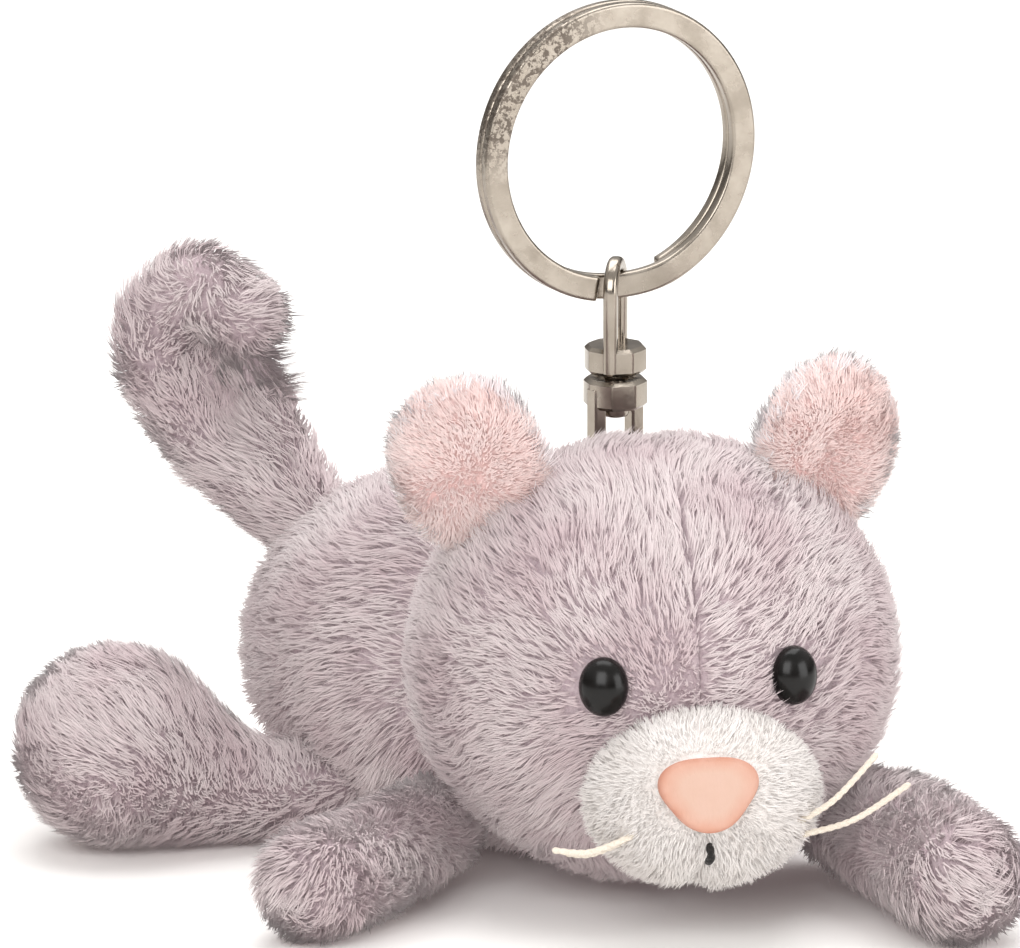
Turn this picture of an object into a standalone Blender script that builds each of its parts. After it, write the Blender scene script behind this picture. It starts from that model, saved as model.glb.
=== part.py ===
"""Plush cat keychain: a stuffed cat lying on its belly, with a die-cast swivel and a split ring.

Every dimension is in millimetres, and at() turns a point into metres. The cat looks along -Y, its left
side is +X, and the floor is Z = 0. Points are given from the middle of the head, and HEAD_X and HEAD_Y
move them so that the origin is below the middle of the whole object.
"""

import math

import bmesh
import bpy
from mathutils import Matrix, Vector

MM = 0.001
HEAD_X, HEAD_Y = 12.9, -12.0

SKIN = 2.2  # plush panel with its pile
SEAM = 0.3  # gap left between rigid neighbours and along a seam
SOFT_GAP = 0.6  # gap left between two soft solids
SWING_GAP = 0.8  # gap left round the path of a leg or the tail

HEAD_CENTRE = (0.0, 0.0, 23.5)
HEAD_RADII = (24.8, 21.0, 22.5)
MUZZLE_CENTRE = (-0.3, -21.0, 14.4)
MUZZLE_RADII = (12.5, 8.5, 9.6)
MUZZLE_SKIN = 2.0
BODY = [  # x, y, z and three radii of each station along the body
    (-1.5, 11.0, 13.0, 18.5, 12.0, 13.2),
    (-8.5, 25.0, 18.4, 22.8, 19.0, 19.2),
    (-15.0, 37.5, 16.4, 17.5, 16.5, 17.2),
]
PANEL_SPLIT = 9.0  # height of the seam between the back and the belly
EAR_CENTRE = (18.0, 0.0, 43.8)
EAR_SHIFT = -0.6  # the pair sits this far towards the right of the head
EAR_RADII = (8.6, 4.6, 9.8)
EAR_LEAN, EAR_TURN = 20.0, 16.0  # degrees outwards and to the side
EAR_PANEL, EAR_SPLIT = 1.5, 1.2  # thickness of the back panel, and how far forward it reaches
EAR_DISH_FORWARD, EAR_DISH_RADII = 6.2, (7.6, 5.6, 8.8)
EYE_PLACE = (9.8, -19.0, 25.5)
EYE_RADIUS, EYE_TALL, EYE_DOME, EYE_SHANK = 2.45, 1.2, 2.0, 0.8
EYE_SINK, EYE_BACK, EYE_SHANK_LONG = 0.6, 0.9, 3.2  # dome and its back below the fur, then the shank
WASHER_RADIUS, WASHER_THICK, WASHER_ROOM = 3.0, 0.8, 0.5
NOSE_WIDE, NOSE_TALL, NOSE_THICK, NOSE_LEAN = 9.8, 7.4, 1.5, 14.0
NOSE_BACK = (-1.6, -28.2, 16.8)
NOSE_BOW, NOSE_EDGE, NOSE_POINTS = 0.10, 0.4, 24
WHISKER_THICK, STITCH_THICK = 0.7, 0.9
MOUTH_STITCH = [(-1.5, -28.3, 9.8), (-1.5, -28.8, 11.4)]
WHISKERS = {
    "left_upper": [(9.2, -25.5, 12.9), (12.0, -26.2, 14.9), (16.2, -25.8, 19.0)],
    "left_lower": [(9.5, -25.2, 11.2), (13.7, -27.2, 12.9), (18.9, -28.2, 16.4)],
    "right_upper": [(-9.4, -26.2, 12.0), (-13.1, -26.2, 10.9), (-16.6, -25.6, 11.2)],
    "right_lower": [(-9.1, -24.8, 11.4), (-12.6, -24.8, 10.3), (-15.0, -24.3, 10.5)],
}

# Balls along each limb as x, y, z, radius. The first one is the root, which turns in a socket.
ARM_RIGHT = [
    (-20.5, 6.0, 6.0, 5.4),
    (-27.0, -2.0, 5.92, 5.9),
    (-31.5, -7.5, 6.02, 6.1),
    (-37.3, -12.7, 6.02, 6.3),
]
ARM_LEFT = [
    (19.0, 3.0, 6.0, 5.4),
    (21.0, -8.0, 6.505, 6.4),
    (22.4, -16.0, 6.905, 7.0),
    (24.0, -29.0, 6.805, 7.0),
]
FOOT_RIGHT = [
    (-25.0, 27.0, 6.0, 5.0),
    (-32.0, 27.0, 5.39, 5.5),
    (-38.5, 27.3, 6.69, 6.9),
    (-47.4, 28.0, 10.39, 10.5),
]
FOOT_LEFT = [
    (6.0, 39.5, 6.0, 5.0),
    (12.0, 43.0, 5.42, 5.5),
    (16.5, 46.0, 6.72, 6.9),
    (21.6, 49.6, 10.42, 10.5),
]
TAIL = [
    (-20.0, 41.0, 24.5, 5.0),
    (-25.0, 45.5, 29.0, 5.3),
    (-31.6, 51.0, 34.8, 5.3),
    (-35.6, 53.0, 40.5, 5.3),
    (-36.9, 52.6, 46.0, 5.3),
    (-34.0, 50.0, 50.6, 5.2),
    (-30.0, 47.2, 48.6, 4.9),
]
LIMBS = {  # name: balls, and the lowest and highest turn about the root's vertical line
    "arm_right": (ARM_RIGHT, -12.0, 8.0),
    "arm_left": (ARM_LEFT, -4.0, 14.0),
    "foot_right": (FOOT_RIGHT, -15.0, 15.0),
    "foot_left": (FOOT_LEFT, -12.0, 12.0),
    "tail": (TAIL, -20.0, 20.0),
}

# How a soft form is rounded: the voxel in millimetres, and the share of its faces that is kept.
COVER_MESH = (2.2, 0.4)
CORE_MESH = (1.6, 0.3)
FILLING_MESH = (1.4, 0.25)
PATH_MESH = (2.6, 0.3)
PANEL_MESH = (3.1, 0.3)
TRUNK_MESH = (3.2, 0.3)
PATH_STEPS = 4
SLEEVE_MOUTH = 1.6  # how far a sleeve's opening reaches past its root, in radii

# The swivel stands on this line behind the crown. Its frame and its eye are turned about the line.
SWIVEL = (-0.5, 13.0)
YOKE_TURN, EYE_TURN, RING_TURN = 26.0, -25.0, 14.0
CASTING_WIRE = 1.4  # thickness of the loop and of the frame's legs
LEG_PLACE = 2.4  # from the swivel's line to the middle of a leg
COLLAR_RADIUS, COLLAR_LOW, COLLAR_HIGH = 3.05, 45.7, 48.6
BLOCK_RADIUS, BLOCK_LOW, BLOCK_HIGH = 3.0, 49.2, 51.9
BAR_HEIGHT, ARCH_HEIGHT = 41.0, 57.6
METAL_EDGE, FRAME_EDGE = 0.35, 0.25  # bevels on the castings
RIVET_RADIUS, RIVET_HEAD, RIVET_BORE = 1.05, 1.35, 1.35
RIVET_HEAD_THICK, RIVET_PLAY, RIVET_STEM = 0.9, 0.2, 1.5
SINK_RADIUS, SINK_DEEP, SINK_END = 1.8, 0.4, 0.9  # countersink on top of the collar
SWIVEL_ROOM, SWIVEL_ROOM_LOW, SWIVEL_ROOM_HIGH = 4.4, -2.0, 12.0  # hole in the crown, from the frame's bar
RIBBON_SLOT = (1.8, 2.2, -5.8)  # half sizes, and how far down it goes
RIBBON_WIDE, RIBBON_THICK, RIBBON_FOOT = 2.6, 0.5, 36.0
RING_RADIUS, RING_WIDE, RING_WIRE = 13.75, 2.5, 1.15  # to the middle of the wire, across it, along the axis
RING_PITCH, RING_CORNER = 1.29, 0.28
RING_START, RING_END, RING_STEP = 10.0, 698.0, 13.0  # degrees from the bottom
JOGGLE_START, JOGGLE_END = 334.0, 368.0  # where the front turn passes to the rear layer
RING_HEIGHT = 57.75 + RING_RADIUS

COLOURS = {  # colour, roughness, metallic
    "plush": ((0.60, 0.51, 0.53), 0.95, 0.0),
    "plush_white": ((0.86, 0.83, 0.80), 0.95, 0.0),
    "plush_pink": ((0.85, 0.52, 0.50), 0.95, 0.0),
    "filling": ((0.90, 0.90, 0.88), 1.0, 0.0),
    "nose_felt": ((0.88, 0.50, 0.38), 0.85, 0.0),
    "black_thread": ((0.02, 0.02, 0.02), 0.8, 0.0),
    "cream_thread": ((0.90, 0.84, 0.74), 0.8, 0.0),
    "black_plastic": ((0.01, 0.01, 0.01), 0.12, 0.0),
    "washer_plastic": ((0.80, 0.80, 0.78), 0.4, 0.0),
    "ribbon": ((0.75, 0.72, 0.70), 0.7, 0.0),
    "nickel": ((0.62, 0.56, 0.50), 0.2, 1.0),
}

for leftover in list(bpy.data.objects):
    bpy.data.objects.remove(leftover, do_unlink=True)
cat = bpy.data.collections.new("plush_cat_keychain")
cutters = bpy.data.collections.new("cutters")
for group in (cat, cutters):
    bpy.context.scene.collection.children.link(group)


def at(x, y, z):
    """A point given from the middle of the head, in metres from the origin."""
    return Vector((x + HEAD_X, y + HEAD_Y, z)) * MM


def across(point):
    """The same point on the other side of the head."""
    return (-point[0], *point[1:])


def as_cutter(thing):
    """Moves an object to the cutters and hides it from renders."""
    for group in thing.users_collection:
        group.objects.unlink(thing)
    cutters.objects.link(thing)
    thing.hide_render = True
    thing.display_type = "WIRE"
    return thing


def new_object(name, mesh):
    thing = bpy.data.objects.new(name, mesh)
    cat.objects.link(thing)
    mesh.shade_smooth()
    return thing


def from_bmesh(name, shape):
    mesh = bpy.data.meshes.new(name)
    shape.to_mesh(mesh)
    shape.free()
    return new_object(name, mesh)


def ellipsoid(name, centre, radii, grow=0.0, around=24, rings=16):
    shape = bmesh.new()
    size = Matrix.Diagonal([(r + grow) * MM for r in radii] + [1.0])
    place = Matrix.Translation(at(*centre)) @ size
    bmesh.ops.create_uvsphere(shape, u_segments=around, v_segments=rings, radius=1.0, matrix=place)
    return from_bmesh(name, shape)


def box(name, low, high):
    shape = bmesh.new()
    low, high = at(*low), at(*high)
    size = Matrix.Diagonal([*(high - low), 1.0])
    bmesh.ops.create_cube(shape, size=1.0, matrix=Matrix.Translation((low + high) / 2) @ size)
    thing = from_bmesh(name, shape)
    thing.data.shade_flat()
    return thing


def smooth_stations(stations, steps):
    """Points on a Catmull-Rom curve through the stations, each of any number of values."""
    rows = [Vector(s) for s in (stations[0], *stations, stations[-1])]
    found = []
    for a, b, c, d in zip(rows, rows[1:], rows[2:], rows[3:]):
        for i in range(steps):
            t = i / steps
            bow, twist = a * 2 - b * 5 + c * 4 - d, b * 3 - a - c * 3 + d
            found.append((b * 2 + (c - a) * t + bow * t * t + twist * t**3) / 2)
    return [*found, rows[-1]]


def soft(name, stations, grow=0.0, grain=COVER_MESH, steps=6):
    """A rounded closed form round balls or ellipsoids that follow the stations, thinned to a few faces."""
    shape = bmesh.new()
    for values in smooth_stations(stations, steps):
        radii = list(values[3:]) if len(values) == 6 else [values[3]] * 3
        scale = Matrix.Diagonal([(r + grow) * MM for r in radii] + [1.0])
        place = Matrix.Translation(at(*values[:3])) @ scale
        bmesh.ops.create_uvsphere(shape, u_segments=20, v_segments=12, radius=1.0, matrix=place)
    thing = from_bmesh(name, shape)
    union = thing.modifiers.new("Union", "REMESH")
    union.mode = "VOXEL"
    union.voxel_size = grain[0] * MM
    union.use_smooth_shade = True
    thing.modifiers.new("Thin", "DECIMATE").ratio = grain[1]
    return thing


def turned(name, profile, steps=20, hollow=False):
    """A body of revolution about local Z. The profile is (radius, height), outer side from top to bottom."""
    mesh = bpy.data.meshes.new(name)
    points = [(r * MM, 0.0, z * MM) for r, z in profile]
    edges = [(i, i + 1) for i in range(len(points) - 1)]
    mesh.from_pydata(points, edges + [(len(points) - 1, 0)] * hollow, [])
    thing = new_object(name, mesh)
    screw = thing.modifiers.new("Turn", "SCREW")
    screw.steps = screw.render_steps = steps
    screw.use_merge_vertices = True
    screw.merge_threshold = 0.00002
    screw.use_smooth_shade = True
    return thing


def tube(name, points, radius, sides=2):
    """A round bar along points, with flat ends, as a mesh."""
    curve = bpy.data.curves.new(name, "CURVE")
    curve.dimensions = "3D"
    curve.bevel_depth = radius * MM
    curve.bevel_resolution = sides
    curve.use_fill_caps = True
    line = curve.splines.new("POLY")
    line.points.add(len(points) - 1)
    for point, place in zip(line.points, points):
        point.co = (*place, 1.0)
    return curve_to_mesh(name, curve)


def curve_to_mesh(name, curve):
    """Replaces a curve by a mesh object whose caps are joined to its sides."""
    source = bpy.data.objects.new(name + "_path", curve)
    bpy.context.scene.collection.objects.link(source)
    bpy.context.view_layer.update()
    graph = bpy.context.evaluated_depsgraph_get()
    mesh = bpy.data.meshes.new_from_object(source.evaluated_get(graph))
    mesh.name = name
    shape = bmesh.new()
    shape.from_mesh(mesh)
    bmesh.ops.remove_doubles(shape, verts=shape.verts, dist=0.000005)
    bmesh.ops.recalc_face_normals(shape, faces=shape.faces)
    shape.to_mesh(mesh)
    shape.free()
    place = source.matrix_world.copy()
    bpy.data.objects.remove(source, do_unlink=True)
    thing = new_object(name, mesh)
    thing.data.set_sharp_from_angle(angle=math.radians(40))
    thing.matrix_world = place
    return thing


def prism(name, outline, low, high, bevel=0.0):
    """An outline in the local XY plane, in millimetres, raised from low to high."""
    shape = bmesh.new()
    floor = shape.faces.new([shape.verts.new((x * MM, y * MM, low * MM)) for x, y in outline])
    raised = bmesh.ops.extrude_face_region(shape, geom=[floor])["geom"]
    lift = Vector((0.0, 0.0, (high - low) * MM))
    bmesh.ops.translate(shape, vec=lift, verts=[g for g in raised if isinstance(g, bmesh.types.BMVert)])
    bmesh.ops.recalc_face_normals(shape, faces=shape.faces)
    thing = from_bmesh(name, shape)
    thing.data.set_sharp_from_angle(angle=math.radians(30))
    if bevel:
        edge = thing.modifiers.new("Edge", "BEVEL")
        edge.width = bevel * MM
        edge.segments = 2
        edge.limit_method = "ANGLE"
        edge.angle_limit = math.radians(35)
    return thing


def polygon(radius, sides, turn=0.0):
    steps = (2 * math.pi * i / sides + math.radians(turn) for i in range(sides))
    return [(radius * math.cos(a), radius * math.sin(a)) for a in steps]


def rectangle(x, y):
    """Corners of a rectangle from its half sizes."""
    return [(-x, -y), (x, -y), (x, y), (-x, y)]


def combine(thing, operation, *others, solver="EXACT"):
    for other in others:
        step = thing.modifiers.new(operation.title(), "BOOLEAN")
        step.operation = operation
        step.solver = solver
        step.object = other
    return thing


def cut(thing, *others, solver="EXACT"):
    return combine(thing, "DIFFERENCE", *others, solver=solver)


def finish(thing, colour, pivot=None):
    """Gives an object its own material, and puts its origin on the pivot it turns about."""
    (red, green, blue), roughness, metallic = COLOURS[colour]
    material = bpy.data.materials.new(thing.name)
    material.use_nodes = True
    shader = material.node_tree.nodes["Principled BSDF"]
    shader.inputs["Base Color"].default_value = (red, green, blue, 1.0)
    shader.inputs["Roughness"].default_value = roughness
    shader.inputs["Metallic"].default_value = metallic
    thing.data.materials.clear()
    thing.data.materials.append(material)
    if pivot is not None:
        world = thing.matrix_world.copy()
        thing.data.transform(Matrix.Translation(-pivot) @ world)
        thing.matrix_world = Matrix.Translation(pivot)
    return thing


def half_space(name, axis, side, at_value):
    """A big box that covers everything on one side of a plane."""
    low, high = [-120.0] * 3, [120.0] * 3
    if side > 0:
        low[axis] = at_value
    else:
        high[axis] = at_value
    return as_cutter(box(name, low, high))


def stand(turn, height):
    """The swivel's line as a matrix, turned about it and raised."""
    return Matrix.Translation(at(*SWIVEL, height)) @ Matrix.Rotation(math.radians(turn), 4, "Z")


def limb_path(stations, turn):
    """The stations turned about the vertical line through the first one."""
    spin = Matrix.Rotation(math.radians(turn), 3, "Z")
    root = Vector(stations[0][:3])
    return [(*(root + spin @ (Vector(s[:3]) - root)), s[3]) for s in stations]


def swept(name, limb, grow):
    """The space that a limb passes through between its two limits, with room around it."""
    stations, low, high = LIMBS[limb]
    thing = None
    for i, turn in enumerate((low, (low + high) / 2, high)):
        path = soft(f"{name}_{i}", limb_path(stations[:4], turn), grow, PATH_MESH, PATH_STEPS)
        if thing is None:
            thing = path
            continue
        shape = bmesh.new()
        shape.from_mesh(thing.data)
        shape.from_mesh(path.data)
        shape.to_mesh(thing.data)
        shape.free()
        bpy.data.objects.remove(path, do_unlink=True)
    return as_cutter(thing)


def make_limb(limb):
    """A plush sleeve, open at its root, round its own filling."""
    stations = LIMBS[limb][0]
    root, second = Vector(stations[0][:3]), Vector(stations[1][:3])
    mouth = root - (second - root).normalized() * stations[0][3] * SLEEVE_MOUTH
    pivot = at(*root)
    core = soft(limb + "_core", [(*mouth, stations[0][3]), *stations], -SKIN, CORE_MESH)
    skin = cut(soft(limb + "_cover", stations), as_cutter(core))
    finish(skin, "plush", pivot)
    filling = soft(limb + "_stuffing", stations, -SKIN - SOFT_GAP, FILLING_MESH)
    finish(filling, "filling", pivot)


def surface_normal(point, centre, radii):
    """The outward direction of an ellipsoid at a point on it."""
    return Vector([(p - c) / r**2 for p, c, r in zip(point, centre, radii)]).normalized()


def aimed(place, direction):
    """A matrix at a place whose local Z looks along a direction, with local Y kept upright."""
    return Matrix.Translation(at(*place)) @ direction.to_track_quat("Z", "Y").to_matrix().to_4x4()


def make_eye(side, point):
    """An oval safety eye with its shank, its locking washer and the cutters that make room for them."""
    facing = surface_normal(point, HEAD_CENTRE, HEAD_RADII)
    frame = aimed(point, facing)
    bottom = -SKIN - EYE_SHANK_LONG
    bows = [i * math.pi / 10 for i in range(6)]
    dome = [(EYE_RADIUS * math.sin(a), EYE_DOME * math.cos(a) - EYE_SINK) for a in bows]
    back = [(EYE_RADIUS, -EYE_BACK), (EYE_SHANK, -EYE_BACK), (EYE_SHANK, bottom), (0.0, bottom)]
    eye = turned("eye_" + side, dome + back, 16)
    eye.matrix_world = frame @ Matrix.Diagonal((1.0, EYE_TALL, 1.0, 1.0))
    finish(eye, "black_plastic")
    inner = EYE_SHANK * EYE_TALL + SEAM
    top = -SKIN - EYE_BACK
    low = top - WASHER_THICK
    ring = [(WASHER_RADIUS, top), (WASHER_RADIUS, low), (inner, low), (inner, top)]
    washer = turned("eye_washer_" + side, ring, 16, hollow=True)
    washer.matrix_world = frame
    finish(washer, "washer_plastic")
    play = SEAM + 0.1
    wide, narrow, ledge = EYE_RADIUS * EYE_TALL + play, EYE_SHANK * EYE_TALL + play, -EYE_BACK - play
    above, below = 3.0, -9.0  # past both sides of the plush
    hole = [(0, above), (wide, above), (wide, ledge), (narrow, ledge), (narrow, below), (0, below)]
    seat = turned("eye_seat_" + side, hole, 20)
    room, floor = WASHER_RADIUS + WASHER_ROOM, bottom - WASHER_ROOM
    pocket = turned("eye_pocket_" + side, [(0, 0), (room, 0), (room, floor), (0, floor)], 20)
    for cutter in (seat, pocket):
        cutter.matrix_world = frame
        as_cutter(cutter)
    return seat, pocket


def make_ear(side, sign, head_room):
    """Two stitched panels: a lilac back and a pink inner panel with a dished front."""
    centre = (sign * EAR_CENTRE[0] + EAR_SHIFT, *EAR_CENTRE[1:])
    hinge = Matrix.Translation(at(*centre))
    lean = hinge @ Matrix.Rotation(math.radians(sign * EAR_TURN), 4, "Z")
    lean = lean @ Matrix.Rotation(math.radians(sign * EAR_LEAN), 4, "Y") @ hinge.inverted()

    def lobe(name, grow, forward=0.0, radii=EAR_RADII, around=14, rings=8):
        thing = ellipsoid(name, (centre[0], centre[1] - forward, centre[2]), radii, grow, around, rings)
        thing.data.transform(lean)
        return thing

    hollow = as_cutter(lobe("ear_hollow_" + side, -EAR_PANEL))
    dish = as_cutter(lobe("ear_dish_" + side, 0.0, EAR_DISH_FORWARD, EAR_DISH_RADII))
    reach = 20.0  # past every side of the ear
    low = (centre[0] - reach, -1.5 * reach, centre[2] - reach)
    high = (centre[0] + reach, centre[1] - EAR_SPLIT, centre[2] + 1.5 * reach)
    front = box("ear_front_" + side, low, high)
    front.data.transform(lean)
    back = cut(lobe(f"ear_{side}_back", 0.0), hollow, as_cutter(front), head_room)
    finish(back, "plush")
    inner = cut(lobe(f"ear_{side}_inner", -EAR_PANEL - SOFT_GAP), dish, head_room, solver="MANIFOLD")
    finish(inner, "plush_pink")


def make_head(swings):
    """Two plush halves that meet at the centre seam, round one filling."""
    room, low, high = SWIVEL_ROOM, SWIVEL_ROOM_LOW, SWIVEL_ROOM_HIGH
    pocket = as_cutter(turned("swivel_pocket", [(0, high), (room, high), (room, low), (0, low)], 20))
    pocket.matrix_world = stand(YOKE_TURN, BAR_HEIGHT)
    x, y, deep = RIBBON_SLOT
    slot = as_cutter(prism("ribbon_slot", rectangle(x, y), deep, 0.0))
    slot.matrix_world = stand(YOKE_TURN, BAR_HEIGHT)
    eyes = [make_eye("left", EYE_PLACE), make_eye("right", across(EYE_PLACE))]
    core = ellipsoid("head_core", HEAD_CENTRE, HEAD_RADII, -SKIN, 20, 12)
    arms = ("arm_left", "arm_right")
    cut(as_cutter(core), *[swept("wide_" + limb, limb, SWING_GAP + SKIN) for limb in arms])
    wider = [swept("wider_" + limb, limb, SWING_GAP + SKIN + SOFT_GAP) for limb in arms]
    for side, sign in (("left", 1), ("right", -1)):
        skin = ellipsoid("head_cover_" + side, HEAD_CENTRE, HEAD_RADII)
        other = half_space("head_other_" + side, 0, -sign, sign * SEAM / 2)
        cut(skin, core, other, pocket, slot, eyes[0 if sign > 0 else 1][0], *swings)
        finish(skin, "plush")
    filling = ellipsoid("head_stuffing", HEAD_CENTRE, HEAD_RADII, -SKIN - SOFT_GAP, 20, 12)
    cut(filling, pocket, slot, eyes[0][1], eyes[1][1], *wider)
    finish(filling, "filling")


def nose_outline(grow=0.0):
    """A triangle that stands on its point, with fully rounded corners and bowed sides."""
    x, y = NOSE_WIDE / 2 + grow, NOSE_TALL / 2 + grow
    points = []
    for i in range(NOSE_POINTS):
        a = 2 * math.pi * i / NOSE_POINTS
        bow = 1.0 + NOSE_BOW * math.cos(3 * (a + math.pi / 2))
        points.append((x * bow * math.cos(a), y * bow * math.sin(a)))
    return points


def thread(name, points, thickness, colour):
    """A thread and the wider hole that it needs in the plush."""
    line = [at(*p[:3]) for p in smooth_stations(points, 2)]
    finish(tube(name, line, thickness / 2), colour)
    return as_cutter(tube(name + "_hole", line, thickness / 2 + SEAM))


def make_muzzle(head_room):
    """The white muzzle with its nose, mouth stitch and whiskers."""
    facing = Vector((0.0, -math.cos(math.radians(NOSE_LEAN)), math.sin(math.radians(NOSE_LEAN))))
    frame = aimed(NOSE_BACK, facing)
    nose = prism("nose", nose_outline(), 0.0, NOSE_THICK, NOSE_EDGE)
    nose.matrix_world = frame
    finish(nose, "nose_felt")
    seat = as_cutter(prism("nose_seat", nose_outline(SEAM), -SEAM, 4 * NOSE_THICK))
    seat.matrix_world = frame
    holes = [thread("mouth_stitch", MOUTH_STITCH, STITCH_THICK, "black_thread")]
    for place, route in WHISKERS.items():
        holes.append(thread("whisker_" + place, route, WHISKER_THICK, "cream_thread"))
    core = as_cutter(ellipsoid("muzzle_core", MUZZLE_CENTRE, MUZZLE_RADII, -MUZZLE_SKIN, 16, 10))
    cover = ellipsoid("muzzle_cover", MUZZLE_CENTRE, MUZZLE_RADII, 0.0, 20, 12)
    finish(cut(cover, core, head_room, seat, *holes), "plush_white")
    filling = ellipsoid("muzzle_stuffing", MUZZLE_CENTRE, MUZZLE_RADII, -MUZZLE_SKIN - SOFT_GAP, 16, 10)
    finish(cut(filling, head_room), "filling")


def make_body(head_room, swings):
    """A back panel and a flat-bottomed belly panel round one filling."""
    floor = half_space("floor_cut", 2, -1, 0.0)
    core = as_cutter(soft("body_core", BODY, -SKIN, TRUNK_MESH))
    for name, side in (("body_back", 1), ("body_belly", -1)):
        other = half_space(name + "_other", 2, -side, PANEL_SPLIT + side * SEAM / 2)
        # The exact solver loses the belly panel where a socket opens its rim, and this one doesn't.
        rooms = (floor, core, other, head_room, *swings)
        panel = cut(soft(name, BODY, 0.0, PANEL_MESH), *rooms, solver="MANIFOLD")
        finish(panel, "plush")
    filling = cut(soft("body_stuffing", BODY, -SKIN - SOFT_GAP, TRUNK_MESH), head_room, *swings)
    finish(filling, "filling")


def loop(name, top, low, turn, height):
    """A bar bent to a U: two legs that run to low and a round bend at top, in the local XZ plane."""
    sign = 1 if top > low else -1
    turns = [i * math.pi / 12 for i in range(13)]
    bend = [(LEG_PLACE * math.cos(a), top + sign * LEG_PLACE * math.sin(a)) for a in turns]
    line = [(x * MM, 0.0, (z - height) * MM) for x, z in [(LEG_PLACE, low), *bend, (-LEG_PLACE, low)]]
    thing = tube(name, line, CASTING_WIRE / 2, 3)
    thing.matrix_world = stand(turn, height)
    return thing


def make_swivel():
    """Frame and collar, rivet, eye and block, and the ribbon that ties the frame to the head."""
    bar_pivot, eye_pivot = at(*SWIVEL, BAR_HEIGHT), at(*SWIVEL, BLOCK_LOW)
    half = LEG_PLACE + CASTING_WIRE / 2
    thick = CASTING_WIRE / 2
    yoke = prism("swivel_yoke", rectangle(half, thick), BAR_HEIGHT - thick, COLLAR_LOW + 1.0, FRAME_EDGE)
    yoke.matrix_world = stand(YOKE_TURN, 0.0)
    opening = rectangle(half - CASTING_WIRE, 4 * thick)
    window = prism("yoke_window", opening, BAR_HEIGHT + thick, COLLAR_LOW)
    collar = prism("yoke_collar", polygon(COLLAR_RADIUS, 12, 15), COLLAR_LOW, COLLAR_HIGH, METAL_EDGE)
    low, high = COLLAR_LOW - 0.5, COLLAR_HIGH + 0.1
    sink = [(SINK_RADIUS, high), (SINK_RADIUS, high - SINK_DEEP), (RIVET_BORE, high - SINK_END)]
    bore = turned("yoke_bore", [(0, high), *sink, (RIVET_BORE, low), (0, low)], 20)
    for tool in (window, collar, bore):
        tool.matrix_world = stand(YOKE_TURN, 0.0)
        as_cutter(tool)
    combine(yoke, "UNION", collar)
    cut(yoke, window, bore)
    finish(yoke, "nickel", bar_pivot)

    head_top = COLLAR_LOW - RIVET_PLAY
    head_low = head_top - RIVET_HEAD_THICK
    stem_top = BLOCK_LOW + RIVET_STEM
    stem = [(0, stem_top), (RIVET_RADIUS, stem_top), (RIVET_RADIUS, head_top)]
    rim = [(RIVET_HEAD, head_top), (RIVET_HEAD, head_low + SEAM)]
    foot = [(RIVET_HEAD * 0.6, head_low), (0, head_low)]
    rivet = turned("swivel_rivet", stem + rim + foot, 20)
    rivet.matrix_world = stand(0.0, 0.0)
    finish(rivet, "nickel", eye_pivot)

    eye = loop("swivel_eye", ARCH_HEIGHT, BLOCK_LOW + 0.3, EYE_TURN + 90.0, 0.0)
    block = prism("eye_block", polygon(BLOCK_RADIUS, 12, 15), BLOCK_LOW, BLOCK_HIGH, METAL_EDGE)
    low, high = BLOCK_LOW - 1.0, stem_top + SEAM
    socket = turned("eye_socket", [(0, high), (RIVET_BORE, high), (RIVET_BORE, low), (0, low)], 20)
    for tool in (block, socket):
        tool.matrix_world = stand(EYE_TURN, 0.0)
        as_cutter(tool)
    combine(eye, "UNION", block)
    finish(cut(eye, socket), "nickel", eye_pivot)

    bend = CASTING_WIRE / math.sqrt(2) + SEAM / 2 + RIBBON_THICK / 2  # clears the corners of the bar
    turns = [i * math.pi / 8 for i in range(9)]
    arch = [(bend * math.cos(a), BAR_HEIGHT + bend * math.sin(a)) for a in turns]
    route = [(bend, RIBBON_FOOT), *arch, (-bend, RIBBON_FOOT)]
    shape = bmesh.new()
    rows = [[shape.verts.new((x * MM, y * MM, z * MM)) for x in (-RIBBON_WIDE / 2, RIBBON_WIDE / 2)]
            for y, z in route]
    for (a, b), (c, d) in zip(rows, rows[1:]):
        shape.faces.new((a, b, d, c))
    ribbon = from_bmesh("anchor_ribbon", shape)
    ribbon.matrix_world = stand(YOKE_TURN, 0.0)
    cloth = ribbon.modifiers.new("Cloth", "SOLIDIFY")
    cloth.thickness = RIBBON_THICK * MM
    cloth.offset = 0.0
    finish(ribbon, "ribbon")


def ring_layer(angle):
    """The distance of the wire from the ring's middle plane: front, then through the joggle, then rear."""
    t = min(max((angle - JOGGLE_START) / (JOGGLE_END - JOGGLE_START), 0.0), 1.0)
    return RING_PITCH * (t * t * (3 - 2 * t) - 0.5)


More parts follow.
